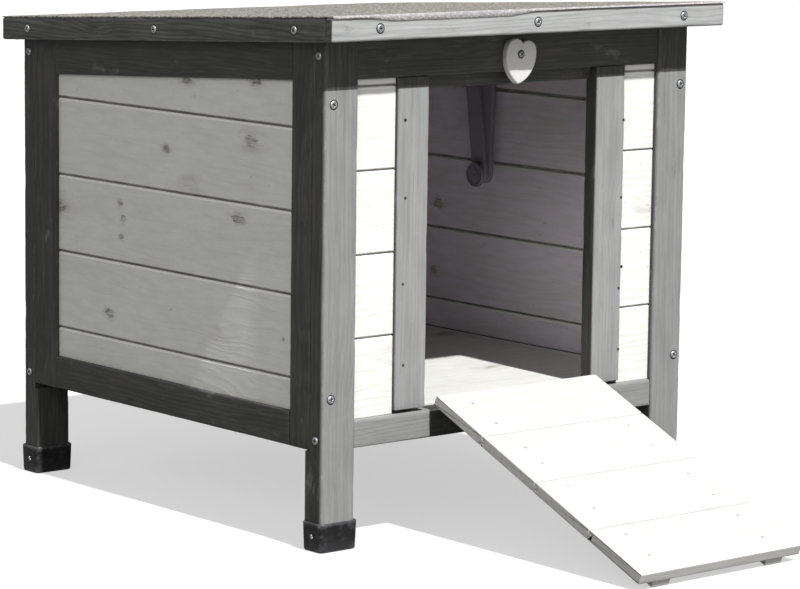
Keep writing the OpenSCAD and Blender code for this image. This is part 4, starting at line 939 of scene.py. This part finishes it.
def floor():
    """Floor board between the walls, on two ledgers."""
    inner = HALF_W - FRAME_T
    x_leg, y0, y1 = HALF_W - LEG_W, FRONT_SET + FRAME_T, BACK_FACE - FRAME_T
    plan = [(-x_leg, y0), (x_leg, y0), (x_leg, LEG_D), (inner, LEG_D), (inner, HOUSE_D - LEG_D),
            (x_leg, HOUSE_D - LEG_D), (x_leg, y1), (-x_leg, y1), (-x_leg, HOUSE_D - LEG_D),
            (-inner, HOUSE_D - LEG_D), (-inner, LEG_D), (-x_leg, LEG_D)]
    timber("floor_board", "floor_panel", "house", board_paint,
           (rounded([(x, y, 0.0) for x, y in plan]), (0, 0, FLOOR_TOP - FLOOR_T), (0, 0, FLOOR_TOP), X, Y,
            dict(grain="x", seed=140, end_r=0.5, step=2.0, sway=0)))
    parts = []
    for k, sx in enumerate((-1, 1)):
        xs = sorted((sx * inner, sx * (inner - LEDGER_W)))
        parts.append((rounded(box_corners(xs[0], xs[1], PANEL_Z, FLOOR_TOP - FLOOR_T, 1.0)), (0, LEG_D, 0),
                      (0, HOUSE_D - LEG_D, 0), X, Z, dict(grain="y", seed=142 + k)))
    timber("floor_ledgers_wood", "floor_ledgers", "house", frame_paint, *parts)


floor()


# Roof


def roof_wood():
    """Roof board, four fascia boards and two battens."""
    half = HALF_W + EAVE_SIDE
    deck_x = half - FASCIA_T
    y0, y1 = ROOF_FRONT + FASCIA_T, ROOF_REAR - FASCIA_T

    def slanted(x0, x1, ya, yb, low, high, r):
        """Box in the roof's plane between two heights above the board's underside."""
        outline = rounded(box_corners(x0, x1, low, high, r))
        return (outline, (0, ya, deck_under(ya)), (0, yb, deck_under(yb)), X, Z)

    timber("roof_board_wood", "roof_board", "roof", frame_paint,
           slanted(-deck_x, deck_x, y0, y1, 0.0, DECK_T, 0.6) + (dict(grain="x", seed=150, sway=0),))
    z0 = deck_top(ROOF_FRONT) - FASCIA_H
    # Painted sunlight on the front fascia.
    timber("front_fascia_wood", "front_fascia", "roof", fascia_paint,
           (rounded(box_corners(ROOF_FRONT, y0, z0, deck_top(y0), 1.9)), (-half, 0, 0), (half, 0, 0),
            Y, Z, dict(grain="x", seed=151, wear=0.35, sun=1.0, arris=0.8, end_r=1.5)))
    z1 = deck_top(ROOF_REAR) - FASCIA_H
    rear = box_corners(y1, ROOF_REAR, z1, deck_top(ROOF_REAR), 1.2)
    timber("rear_fascia_wood", "rear_fascia", "roof", fascia_paint,
           (rounded(rear), (-deck_x, 0, 0), (deck_x, 0, 0), Y, Z, dict(grain="x", seed=152)))
    for k, (side, xs) in enumerate((("left", (-half, -deck_x)), ("right", (deck_x, half)))):
        timber(f"{side}_fascia_wood", f"{side}_fascia", "roof", fascia_paint,
               slanted(xs[0], xs[1], y0, ROOF_REAR, DECK_T - FASCIA_H, DECK_T, 1.9)
               + (dict(grain="y", seed=153 + k, wear=0.45, arris=0.9, end_r=1.5),))
    x, batten_w, batten_h, batten_ys = HALF_W - FRAME_T - 30.0, 28.0, 14.0, (65.0, 348.0)
    battens = [slanted(-x, x, y, y + batten_w, -batten_h, 0.0, 1.2) + (dict(grain="x", seed=156 + k),)
               for k, y in enumerate(batten_ys)]
    timber("roof_battens_wood", "roof_battens", "roof", frame_paint, *battens)


roof_wood()


def roof_sheet():
    """Felt: a thin slab over the roof with soft swells, whose front edge hangs over the fascia in waves.

    The sheet is a grid of x by rows, from the hanging lip over the front edge to the rear and back along the
    underside. Upper points are lifted by the felt's thickness and by smooth swells; the lip's length is a
    slow wave along the front. In the lip's rows a share above zero is of that length, below zero of the
    felt's thickness.
    """
    half = HALF_W + EAVE_SIDE
    x = np.linspace(-half, half, 150)
    waves = 2.4 + 2.6 * np.sin(2 * math.pi * (x + 178.0) / 330.0) + 1.2 * wave(x, 5, (61.0, 97.0, 170.0))
    lip = np.clip(waves, 0.5, 4.0) * np.clip((160.0 - x) / 120.0, 0.12, 1.0)
    y = np.concatenate([np.array([0.0, 1.0, 2.2, 4.0]), np.linspace(8.0, ROOF_REAR - ROOF_FRONT, 110)])
    swell = 0.22 * (wave(x, 8, (75.0, 120.0, 210.0))[:, None] + wave(y, 9, (80.0, 130.0, 240.0))[None, :])
    edge_x = np.clip((half - np.abs(x)) / 6.0, 0, 1)[:, None]
    top_y, gap = ROOF_FRONT + y, 0.06
    z_base, front_z = deck_top(top_y) + gap, deck_top(ROOF_FRONT) + gap
    swollen = swell * edge_x * np.clip(y / 10.0, 0, 1)[None, :]
    up = z_base[None, :] + FELT_T - 0.25 + swollen - (1 - edge_x) * 0.35
    lip_y = np.array([-0.75, -1.25, -1.5, -1.2, -0.6])[:, None]
    share = np.array([1.0, 0.7, 0.2, -0.35, -0.85])[:, None]
    level, behind = np.zeros((1, len(x))), np.full((2, 1), ROOF_FRONT - gap)
    depth = np.concatenate([ROOF_FRONT + lip_y, top_y[:, None], top_y[::-1, None], behind])
    height = np.concatenate([front_z - np.where(share > 0, lip, FELT_T) * share, up.T,
                             z_base[::-1, None] - 0.02 + level, front_z - 0.1 + level, front_z - lip + level])
    verts = np.stack(np.broadcast_arrays(x, depth, height), axis=-1).reshape(-1, 3)
    count, wide = height.shape
    i = np.arange(count)[:, None]
    j = np.arange(wide - 1)[None, :]
    nxt = (i + 1) % count
    here, beyond = i * wide + j, nxt * wide + j
    quads = np.stack([here, here + 1, beyond + 1, beyond], axis=-1).reshape(-1, 4)
    caps = [tuple(k * wide + end for k in range(count)) for end in (0, wide - 1)]
    mesh = Mesh()
    # The lip over the front edge gets edge 1, which the felt draws paler.
    paler_lip = np.zeros(len(verts))
    paler_lip[:len(lip_y) * wide] = 1.0
    mesh.add(verts, quads.tolist() + caps, verts + 700.0, paler_lip, felt)
    mesh.build("roof_felt_sheet", "roof", ("roof_felt",))


roof_sheet()


# Door


def door_axes():
    """Origin and unit vectors of the open door: u runs down the ramp, w stands out of its upper face."""
    u = np.array([0.0, -math.cos(RAMP_ANGLE), -math.sin(RAMP_ANGLE)])
    w = np.array([0.0, -math.sin(RAMP_ANGLE), math.cos(RAMP_ANGLE)])
    origin = np.array(DOOR_PIN) + u * DOOR_GAP + w * HINGE_SET
    return origin, u, w


def door():
    """Ramp: four cross boards nailed on two battens."""
    origin, u, w = door_axes()
    grain = (X, u, w)
    cuts = (0.0, *RAMP_JOINTS, DOOR_L)
    for i in range(4):
        outline = board_outline(DOOR_T, cuts[i], cuts[i + 1], i == 0, i == 3, lambda t, v: (v, t), 0.8,
                                dirt_and_bevel_shade=0.25)
        timber(f"door_board_{i + 1}_wood", f"door_board_{i + 1}", "door", shade_toned_ramp_paint,
               (outline, origin - X * DOOR_W / 2, origin + X * DOOR_W / 2, u, w,
                dict(grain=grain, seed=170 + i, wear=0.15, sway=0.05, end_r=0.8, end_dirt=0.12)))
    parts = []
    for k, x in enumerate((-DOOR_W / 2 + 18.0, DOOR_W / 2 - 37.0)):
        parts.append((rounded(box_corners(x, x + BATTEN_W, -BATTEN_T, 0.0, 0.9)), origin + u * 21.0,
                      origin + u * (DOOR_L - 1.0), X, w, dict(grain=(u, X, w), seed=175 + k, end_r=0.5)))
    timber("door_battens_wood", "door_battens", "door", shade_toned_ramp_paint, *parts)


door()


# Hardware


def nails(name, body, places):
    """Small sunk nail heads: a shallow ring round a flat head, dark in the trims and grey in the ramp."""
    mesh = Mesh()
    sunk = [(0.05, 0.02), (0.75, 0.04), (0.85, -0.10), (1.0, -0.10), (1.15, 0.10), (1.4, 0.05), (1.5, -0.25),
            (0.3, -0.4)]
    for centre, axis in places:
        lathe(mesh, sunk, centre, axis, slot_shade if body == "house" else zinc, 16)
    mesh.build(name, body)


def all_nails():
    """Nails in the door trims and in the ramp's boards over the battens."""
    trims = [((x - HALF_W, 1.95, z), (0, -1, 0)) for x, z in
             ((339.0, 344.5), (338.0, 276.0), (340.5, 214.0), (337.5, 195.0), (87.5, 357.0), (88.5, 291.6),
              (87.0, 219.0), (88.5, 150.0), (338.5, 140.0))]
    nails("door_trim_nails", "house", trims)
    origin, u, w = door_axes()
    rows = ((27.5, (18, 50, 89, 113, 148, 182, 222, 252)), (156.5, (44, 80, 112, 158, 191, 223, 256)))
    places = [(origin + X * (x - DOOR_W / 2 + 1.2 * math.sin(down)) + u * down + w * (DOOR_T - 0.02), w)
              for x, marks in rows for down in marks]
    nails("ramp_nails", "door", places)


all_nails()


def frame_screws():
    """Cross-head screws on the legs' outer and front or back faces."""
    mesh = Mesh()
    k = 0
    for sx in (-1, 1):
        for y_face, y_in in ((0.0, SCREW_IN), (HOUSE_D, HOUSE_D - SCREW_IN)):
            out = -1 if y_face == 0 else 1
            for z in (PANEL_Z + SCREW_IN, wall_z(y_in) - LEG_SCREW_DOWN):
                screw_head(mesh, (sx * (HALF_W - SCREW_SUNK), y_in, z), (sx, 0, 0), spin=0.7 * k)
                k += 1
            for z in (PANEL_Z + RAIL_SCREW_UP, LINTEL_Z - LINTEL_SCREW_DOWN):
                place = (sx * (HALF_W - SCREW_IN), y_face - out * SCREW_SUNK, z)
                screw_head(mesh, place, (0, out, 0), spin=0.7 * k)
                k += 1
    mesh.build("frame_screw_heads", "house", ("frame_screws",))


def fascia_screws():
    """Cross-head screws in the four fascia boards."""
    mesh = Mesh()
    half = HALF_W + EAVE_SIDE
    mid = (ROOF_FRONT + FASCIA_T + ROOF_REAR) / 2
    reach = (ROOF_REAR - ROOF_FRONT - FASCIA_T) / 2 - FASCIA_SCREW_IN + FASCIA_T

    def head(x, y, axis, spin):
        """One screw in a fascia's face, at the same depth below the roof board's upper face everywhere."""
        screw_head(mesh, (x, y, deck_top(y + SCREW_SUNK * axis[1]) - FASCIA_SCREW_DOWN), axis, spin=spin)

    for k, i in enumerate((-1, 0, 1)):
        head(i * (half - FASCIA_SCREW_IN), ROOF_FRONT + SCREW_SUNK, (0, -1, 0), 1.1 * k)
        head(i * (half - FASCIA_T - FASCIA_SCREW_IN), ROOF_REAR - SCREW_SUNK, (0, 1, 0), 0.8 * k + 0.4)
        for sx in (-1, 1):
            head(sx * (half - SCREW_SUNK), mid + i * reach, (sx, 0, 0), 0.9 * k + sx)
    mesh.build("fascia_screw_heads", "roof", ("fascia_screws",))


frame_screws()
fascia_screws()


def knuckles(mesh, pin, spots):
    """Rolled knuckles of one leaf round a pin along x."""
    for centre, length in spots:
        bolt(mesh, np.array(pin) + X * (centre - length / 2), X, KNUCKLE_R, length, round_r=0.25, around=28)


def leaf(mesh, pin, face, down, length, middle):
    """Hinge leaf from a pin with three countersunk screws.

    face points off the wood and down runs along the leaf. The leaf has its knuckle in the middle, or else
    two at the sides.
    """
    face, down = np.asarray(face, float), np.asarray(down, float)
    third, back, start = HINGE_W / 3, -HINGE_SET, 3.0
    plate = rounded(box_corners(-HINGE_W / 2, HINGE_W / 2, start, length, (0.4, 0.4, 2.5, 2.5)), 4, 0.8)
    pin = np.asarray(pin, float)
    low, high = pin + face * (back + 0.02), pin + face * (back + LEAF_T)
    options = dict(grain=(X, down, face), wear=0, step=0.4, sway=0)
    sweep(mesh, plate, low, high, X, down, zinc, seed=3, end_r=0.25, **options)
    spots = [(0.0, third - 0.4)] if middle else [(-third, third - 0.4), (third, third - 0.4)]
    knuckles(mesh, pin, spots)
    for centre, size in spots:
        tab = rounded(box_corners(centre - size / 2, centre + size / 2, -0.5, start + 0.8, 0.2), 2, 0.3)
        sweep(mesh, tab, low, high, X, down, zinc, seed=4, end_r=0.15, **options)
    if length > 12:
        for k, x in enumerate((-HINGE_W * 0.33, 0.0, HINGE_W * 0.33)):
            place = pin + X * x + down * (length * (0.72 if k != 1 else 0.5)) + face * (back + 1.15)
            screw_head(mesh, place, face, r=2.3, h=0.7, spin=0.5 * k)


def hinge_pin(mesh, pin):
    """Pin of a hinge, a little longer than its knuckles at both ends."""
    past = 0.8
    bolt(mesh, pin - X * (HINGE_W / 2 + past), X, PIN_R, HINGE_W + 2 * past, round_r=0.4, around=20)


def hinges():
    """Two roof hinges at the back and two door hinges under the doorway."""
    wall, roof = Mesh(), Mesh()
    for sx in (-1, 1):
        pin = np.array([sx * ROOF_HINGE_X, ROOF_PIN[1], ROOF_PIN[2]])
        leaf(wall, pin, Y, -Z, LEAF_L, False)
        hinge_pin(wall, pin)
        leaf(roof, pin, -Z, Y, ROOF_REAR - ROOF_PIN[1], True)
    wall.build("roof_hinge_wall_plates", "house", ("roof_hinge_wall_leaves",))
    roof.build("roof_hinge_roof_plates", "roof", ("roof_hinge_roof_leaves",))
    rail, ramp_side = Mesh(), Mesh()
    _, u, w = door_axes()
    for sx in (-1, 1):
        pin = np.array([DOOR_X + sx * (DOOR_W / 2 - DOOR_HINGE_IN), DOOR_PIN[1], DOOR_PIN[2]])
        leaf(rail, pin, -Y, -Z, LEAF_L, False)
        hinge_pin(rail, pin)
        leaf(ramp_side, pin, -w, u, LEAF_L, True)
    rail.build("door_hinge_rail_plates", "house", ("door_hinge_rail_leaves",))
    ramp_side.build("door_hinge_door_plates", "door", ("door_hinge_door_leaves",))


hinges()


def heart_ring(d):
    """The heart's outline drawn in by d, as (across, up) points round its screw.

    The right half is a lobe's arc, a side's arc that runs smoothly into it and a tip's arc. The side's
    middle lies its radius less the lobe's from the lobe and its radius less the tip's from the tip.
    Drawing in only shortens the three radii, so every ring has matching points.
    """
    lobe = np.array([LOBE_X, HEART_TOP - LOBE_R])
    tip = np.array([0.0, TIP_R - HEART_TIP])
    reach = np.linalg.norm(tip - lobe)
    way = (tip - lobe) / reach
    part = ((SIDE_R - LOBE_R) ** 2 - (SIDE_R - TIP_R) ** 2 + reach ** 2) / (2 * reach)
    side = lobe + part * way + math.sqrt((SIDE_R - LOBE_R) ** 2 - part ** 2) * np.array([way[1], -way[0]])
    turn_lobe = math.atan2(*(lobe - side)[::-1])
    turn_tip = math.atan2(*(tip - side)[::-1])
    notch = math.acos(-LOBE_X / (LOBE_R - d))
    pieces = []
    arcs = ((lobe, LOBE_R, notch, turn_lobe, 22), (side, SIDE_R, turn_lobe, turn_tip, 16),
            (tip, TIP_R, turn_tip, -math.pi / 2, 7))
    for middle, r, a0, a1, count in arcs:
        a = np.linspace(a0, a1, count + 1)[(1 if pieces else 0):]
        pieces.append(middle + (r - d) * np.column_stack([np.cos(a), np.sin(a)]))
    half = np.concatenate(pieces)
    ring = np.concatenate([half, half[1:-1][::-1] * np.array([-1, 1])]) + np.array([BUTTON_OFF, 0.0])
    c, n = math.cos(BUTTON_TURN), math.sin(BUTTON_TURN)
    return ring @ np.array([[c, -n], [n, c]])


def heart():
    """Heart-shaped turn button with softened rims, on a cross-head screw."""
    back, front, soft, rim = 1.7, -4.3, 1.3, 0.5
    t = np.linspace(0, math.pi / 2, 6)
    stages = ([(back, 1.6)] + [(back - rim * (1 - math.cos(s)), rim * (1 - math.sin(s))) for s in t]
              + [(front + soft * (1 - math.sin(s)), soft * (1 - math.cos(s))) for s in t] + [(front, 1.7)])
    rows = []
    for y, d in stages:
        flat = heart_ring(d)
        rows.append(np.column_stack([flat[:, 0] + BUTTON[0], np.full(len(flat), y), flat[:, 1] + BUTTON[2]]))
    verts = np.concatenate(rows)
    mesh = Mesh()
    mesh.add(verts, rings_to_faces(len(rows), len(rows[0])), (verts @ np.array(GRAIN["z"]).T) + 900.0,
             np.zeros(len(verts)), heart_paint)
    mesh.build("turn_button_heart", "button", ("turn_button",))
    pin = Mesh()
    seat = (BUTTON[0], front - 0.3, BUTTON[2])
    screw_head(pin, seat, (0, -1, 0), r=2.7, h=1.4, spin=0.5)
    bolt(pin, seat, (0, 1, 0), r=1.55, h=13.0, round_r=0.2, around=20)
    pin.build("turn_button_pivot", "house", ("turn_button_screw",))


heart()


def arm_outline(a, b, r):
    """Outline of a flat arm with round ends between two points of the y-z plane."""
    a, b = np.asarray(a, float), np.asarray(b, float)
    turn = math.atan2(*(b - a)[::-1])
    first = np.linspace(turn + math.pi / 2, turn + 1.5 * math.pi, 21)
    last = np.linspace(turn - math.pi / 2, turn + math.pi / 2, 21)
    n1 = np.column_stack([np.cos(first), np.sin(first)])
    n2 = np.column_stack([np.cos(last), np.sin(last)])
    base = np.concatenate([a + r * n1, b + r * n2])
    which = np.zeros(len(base), dtype=int)
    return base, np.concatenate([n1, n2]), np.ones(len(base)), which


def stay():
    """Folding roof stay: two arms on an elbow bolt with a knurled knob, a wall screw and a roof bracket."""
    outer, inner, wall, bracket = Mesh(), Mesh(), Mesh(), Mesh()
    options = dict(grain=(Z, Y, X), end_r=0.9, wear=0.0, sway=0.0, step=2.2, arris=0.5)
    for mesh, ends, x, seed in ((outer, (STAY_WALL, STAY_ELBOW), ARM_OUTER_X, 201),
                                (inner, (STAY_ELBOW, STAY_ROOF), ARM_INNER_X, 202)):
        outline = arm_outline(*ends, ARM_R)
        sweep(mesh, outline, (x - ARM_T, 0, 0), (x, 0, 0), Y, Z, dark_steel, seed=seed, **options)
    knob_x = ARM_INNER_X - ARM_T - STAY_GAP
    elbow = np.array([0.0, *STAY_ELBOW])

    def knurl(radius, height, angle):
        """Cuts thirty shallow flutes into the rim."""
        rim = radius > KNOB_R - 1.6
        return radius - rim * 0.40 * (0.5 + 0.5 * np.cos(30 * angle)), height

    bolt(outer, elbow + X * (knob_x - WASHER_T), X, r=10.6, h=WASHER_T, round_r=0.25, around=48)
    t = np.linspace(0, math.pi / 2, 5)
    rim = [(KNOB_R - 0.8 * (1 - math.sin(s)), 0.8 * (1 - math.cos(s))) for s in t]
    face = [(KNOB_R - 1.2 * (1 - math.cos(s)), KNOB_T - 1.2 * (1 - math.sin(s))) for s in t]
    steps = ((KNOB_R - 2.0, 0.2), (KNOB_R - 2.8, 0.8), (5.6, 1.0), (5.0, 0.6), (4.0, 0.4), (1.6, 0.35),
             (1.2, 1.0), (0.05, 1.0))
    dish = [(r, KNOB_T - sunk) for r, sunk in steps]
    profile = [(0.05, 0.0), (6.0, 0.0)] + rim + face + dish
    lathe(outer, profile, elbow + X * (knob_x - WASHER_T), -X, knob_steel, 120, knurl)
    through = ARM_OUTER_X - knob_x + KNOB_T + 0.6
    bolt(outer, elbow + X * (knob_x - KNOB_T), X, r=3.0, h=through, round_r=0.3, around=24)
    bolt(outer, elbow + X * ARM_OUTER_X, X, r=6.0, h=1.2, round_r=0.4, around=6)
    outer.build("stay_outer_arm_steel", "stay_lower", ("stay_outer_arm", "stay_clamp_knob"))
    inner.build("stay_inner_arm_steel", "stay_upper", ("stay_inner_arm",))
    pivot = np.array([0.0, *STAY_WALL])
    spacer = ARM_OUTER_X + STAY_GAP
    bolt(wall, pivot + X * spacer, X, r=6.0, h=RAIL_X - ARM_OUTER_X - STAY_GAP, round_r=0.3, around=24)
    screw_head(wall, pivot + X * (ARM_OUTER_X - ARM_T + 1.2), -X, r=5.8, h=1.1, spin=0.4)
    wall.build("stay_wall_pivot_screw", "house", ("stay_wall_screw",))
    roof_bracket(bracket, np.array([0.0, *STAY_ROOF]))
    bracket.build("stay_roof_bracket_steel", "roof", ("stay_roof_bracket",))


def roof_bracket(mesh, place):
    """Angle bracket: a plate with a round lower end, a foot under the roof board, a rivet and two screws."""
    x1 = ARM_INNER_X - ARM_T - STAY_GAP - WASHER_T
    y, z = STAY_ROOF
    top, r = deck_under(y) - 0.4, ARM_R
    a = np.linspace(math.pi, 2 * math.pi, 25)
    around = np.column_stack([np.cos(a), np.sin(a)])
    base = np.concatenate([np.array([y, z]) + r * around, [[y + r, top], [y - r, top]]])
    normal = np.concatenate([around, [[1, 1], [-1, 1]]])
    plate = (base, normal, np.ones(len(base)), np.zeros(len(base), dtype=int))
    options = dict(grain=(Z, Y, X), end_r=0.4, wear=0.0, sway=0.0, step=0.5)
    sweep(mesh, plate, (x1 - 2, 0, 0), (x1, 0, 0), Y, Z, dark_steel, seed=210, **options)
    foot = rounded(box_corners(x1 - 18.2, x1 - 0.5, y - r, y + r, (3.0, 0.5, 0.5, 3.0)), 4, 0.8)
    sweep(mesh, foot, (0, 0, top - 2.0), (0, 0, top), X, Y, dark_steel, "x", seed=211, end_r=0.4, wear=0.0,
          step=0.5, sway=0.0)
    bolt(mesh, place + X * x1, X, r=4.8, h=WASHER_T, round_r=0.25, around=28)
    bolt(mesh, place + X * (x1 - 3.2), X, r=4.0, h=1.4, round_r=0.6, around=28)
    for k, dx in enumerate((-5.5, -13.0)):
        under = (x1 + dx, y + (-3.5 if k else 3.5), top - 1.95)
        screw_head(mesh, under, (0, 0, -1), r=2.4, h=0.9, spin=0.6 * k)


stay()


# Stage, light and camera


def stage():
    """Pale floor that looks near white to the camera and reflects less light onto the house."""
    mesh = bpy.data.meshes.new("floor_plane")
    size = 30.0
    corners = [(-size, -size, 0), (size, -size, 0), (size, size, 0), (-size, size, 0)]
    mesh.from_pydata(corners, [], [(0, 1, 2, 3)])
    made = bpy.data.objects.new("floor_plane", mesh)
    bpy.context.scene.collection.objects.link(made)
    mat = bpy.data.materials.new("pale_floor")
    mat.use_nodes = True
    tree = mat.node_tree
    node = functools.partial(add, tree)
    seen = node("LightPath", out="Is Camera Ray")
    colour = node("Mix", seen, grey(0.17), srgb("#f4f4f4"), data_type="RGBA")
    finish(mat, Base_Color=colour, Roughness=0.9, Specular_IOR_Level=0.1)
    glow = node("Emission", grey(1.0), 1.0)
    share = node("Math", seen, 0.55, operation="MULTIPLY")
    both = node("MixShader", share, tree.nodes["Principled BSDF"].outputs[0], glow)
    put(tree, both, tree.nodes["Material Output"].inputs["Surface"])
    mesh.materials.append(mat)


def lamp(name, kind, energy, place, tilt, turn, size=None):
    """Adds one light; tilt and turn are its rotations about x and z in degrees."""
    data = bpy.data.lights.new(name, kind)
    data.energy = energy
    if kind == "SUN":
        data.angle = math.radians(1.5)
    else:
        data.shape = "RECTANGLE"
        data.size, data.size_y = size
    made = bpy.data.objects.new(name, data)
    made.location = place
    made.rotation_euler = (math.radians(tilt), 0.0, math.radians(turn))
    bpy.context.scene.collection.objects.link(made)


def lights():
    """Sun from high in front, broad panels at the front left and low in front, and an even sky."""
    world = bpy.data.worlds.new("studio")
    bpy.context.scene.world = world
    world.use_nodes = True
    tree = world.node_tree
    background = tree.nodes["Background"]
    seen = add(tree, "LightPath", out="Is Camera Ray")
    sky = add(tree, "Mix", seen, grey(0.30), grey(1.0), data_type="RGBA")
    put(tree, sky, background.inputs["Color"])
    put(tree, 1.0, background.inputs["Strength"])
    sun_height, sun_turn = 55.3, -3.8
    lamp("key", "SUN", 4.7, (0.0, 0.0, 3.0), 90 - sun_height, sun_turn)
    lamp("left_fill", "AREA", 25.0, (-3.0, -1.6, 2.0), tilt=61, turn=-62, size=(2.2, 1.4))
    lamp("front_fill", "AREA", 9.0, (-0.3, -3.2, 0.5), tilt=86, turn=-5, size=(1.6, 0.8))


def camera():
    """Camera at the photograph's viewpoint, found from the house's straight edges."""
    place = np.array([-1703.0 - HALF_W, -2117.5 + SHIFT_Y, 615.7]) * MM
    turn, pitch, roll = 0.7005, -0.1451, 0.0131
    focal_px, width_px, sensor = 3343.9, 800, 36.0
    forward = np.array([math.sin(turn) * math.cos(pitch), math.cos(turn) * math.cos(pitch), math.sin(pitch)])
    right0 = np.array([math.cos(turn), -math.sin(turn), 0.0])
    up0 = np.cross(right0, forward)
    right = right0 * math.cos(roll) + up0 * math.sin(roll)
    up = -right0 * math.sin(roll) + up0 * math.cos(roll)
    lens = bpy.data.cameras.new("camera")
    lens.sensor_width = sensor
    lens.lens = focal_px * sensor / width_px
    made = bpy.data.objects.new("camera", lens)
    rotation = Matrix(np.column_stack([right, up, -forward]).tolist()).to_4x4()
    made.matrix_world = Matrix.Translation(place.tolist()) @ rotation
    bpy.context.scene.collection.objects.link(made)
    bpy.context.scene.camera = made


stage()
lights()
camera()
bpy.context.scene.view_settings.view_transform = "Standard"
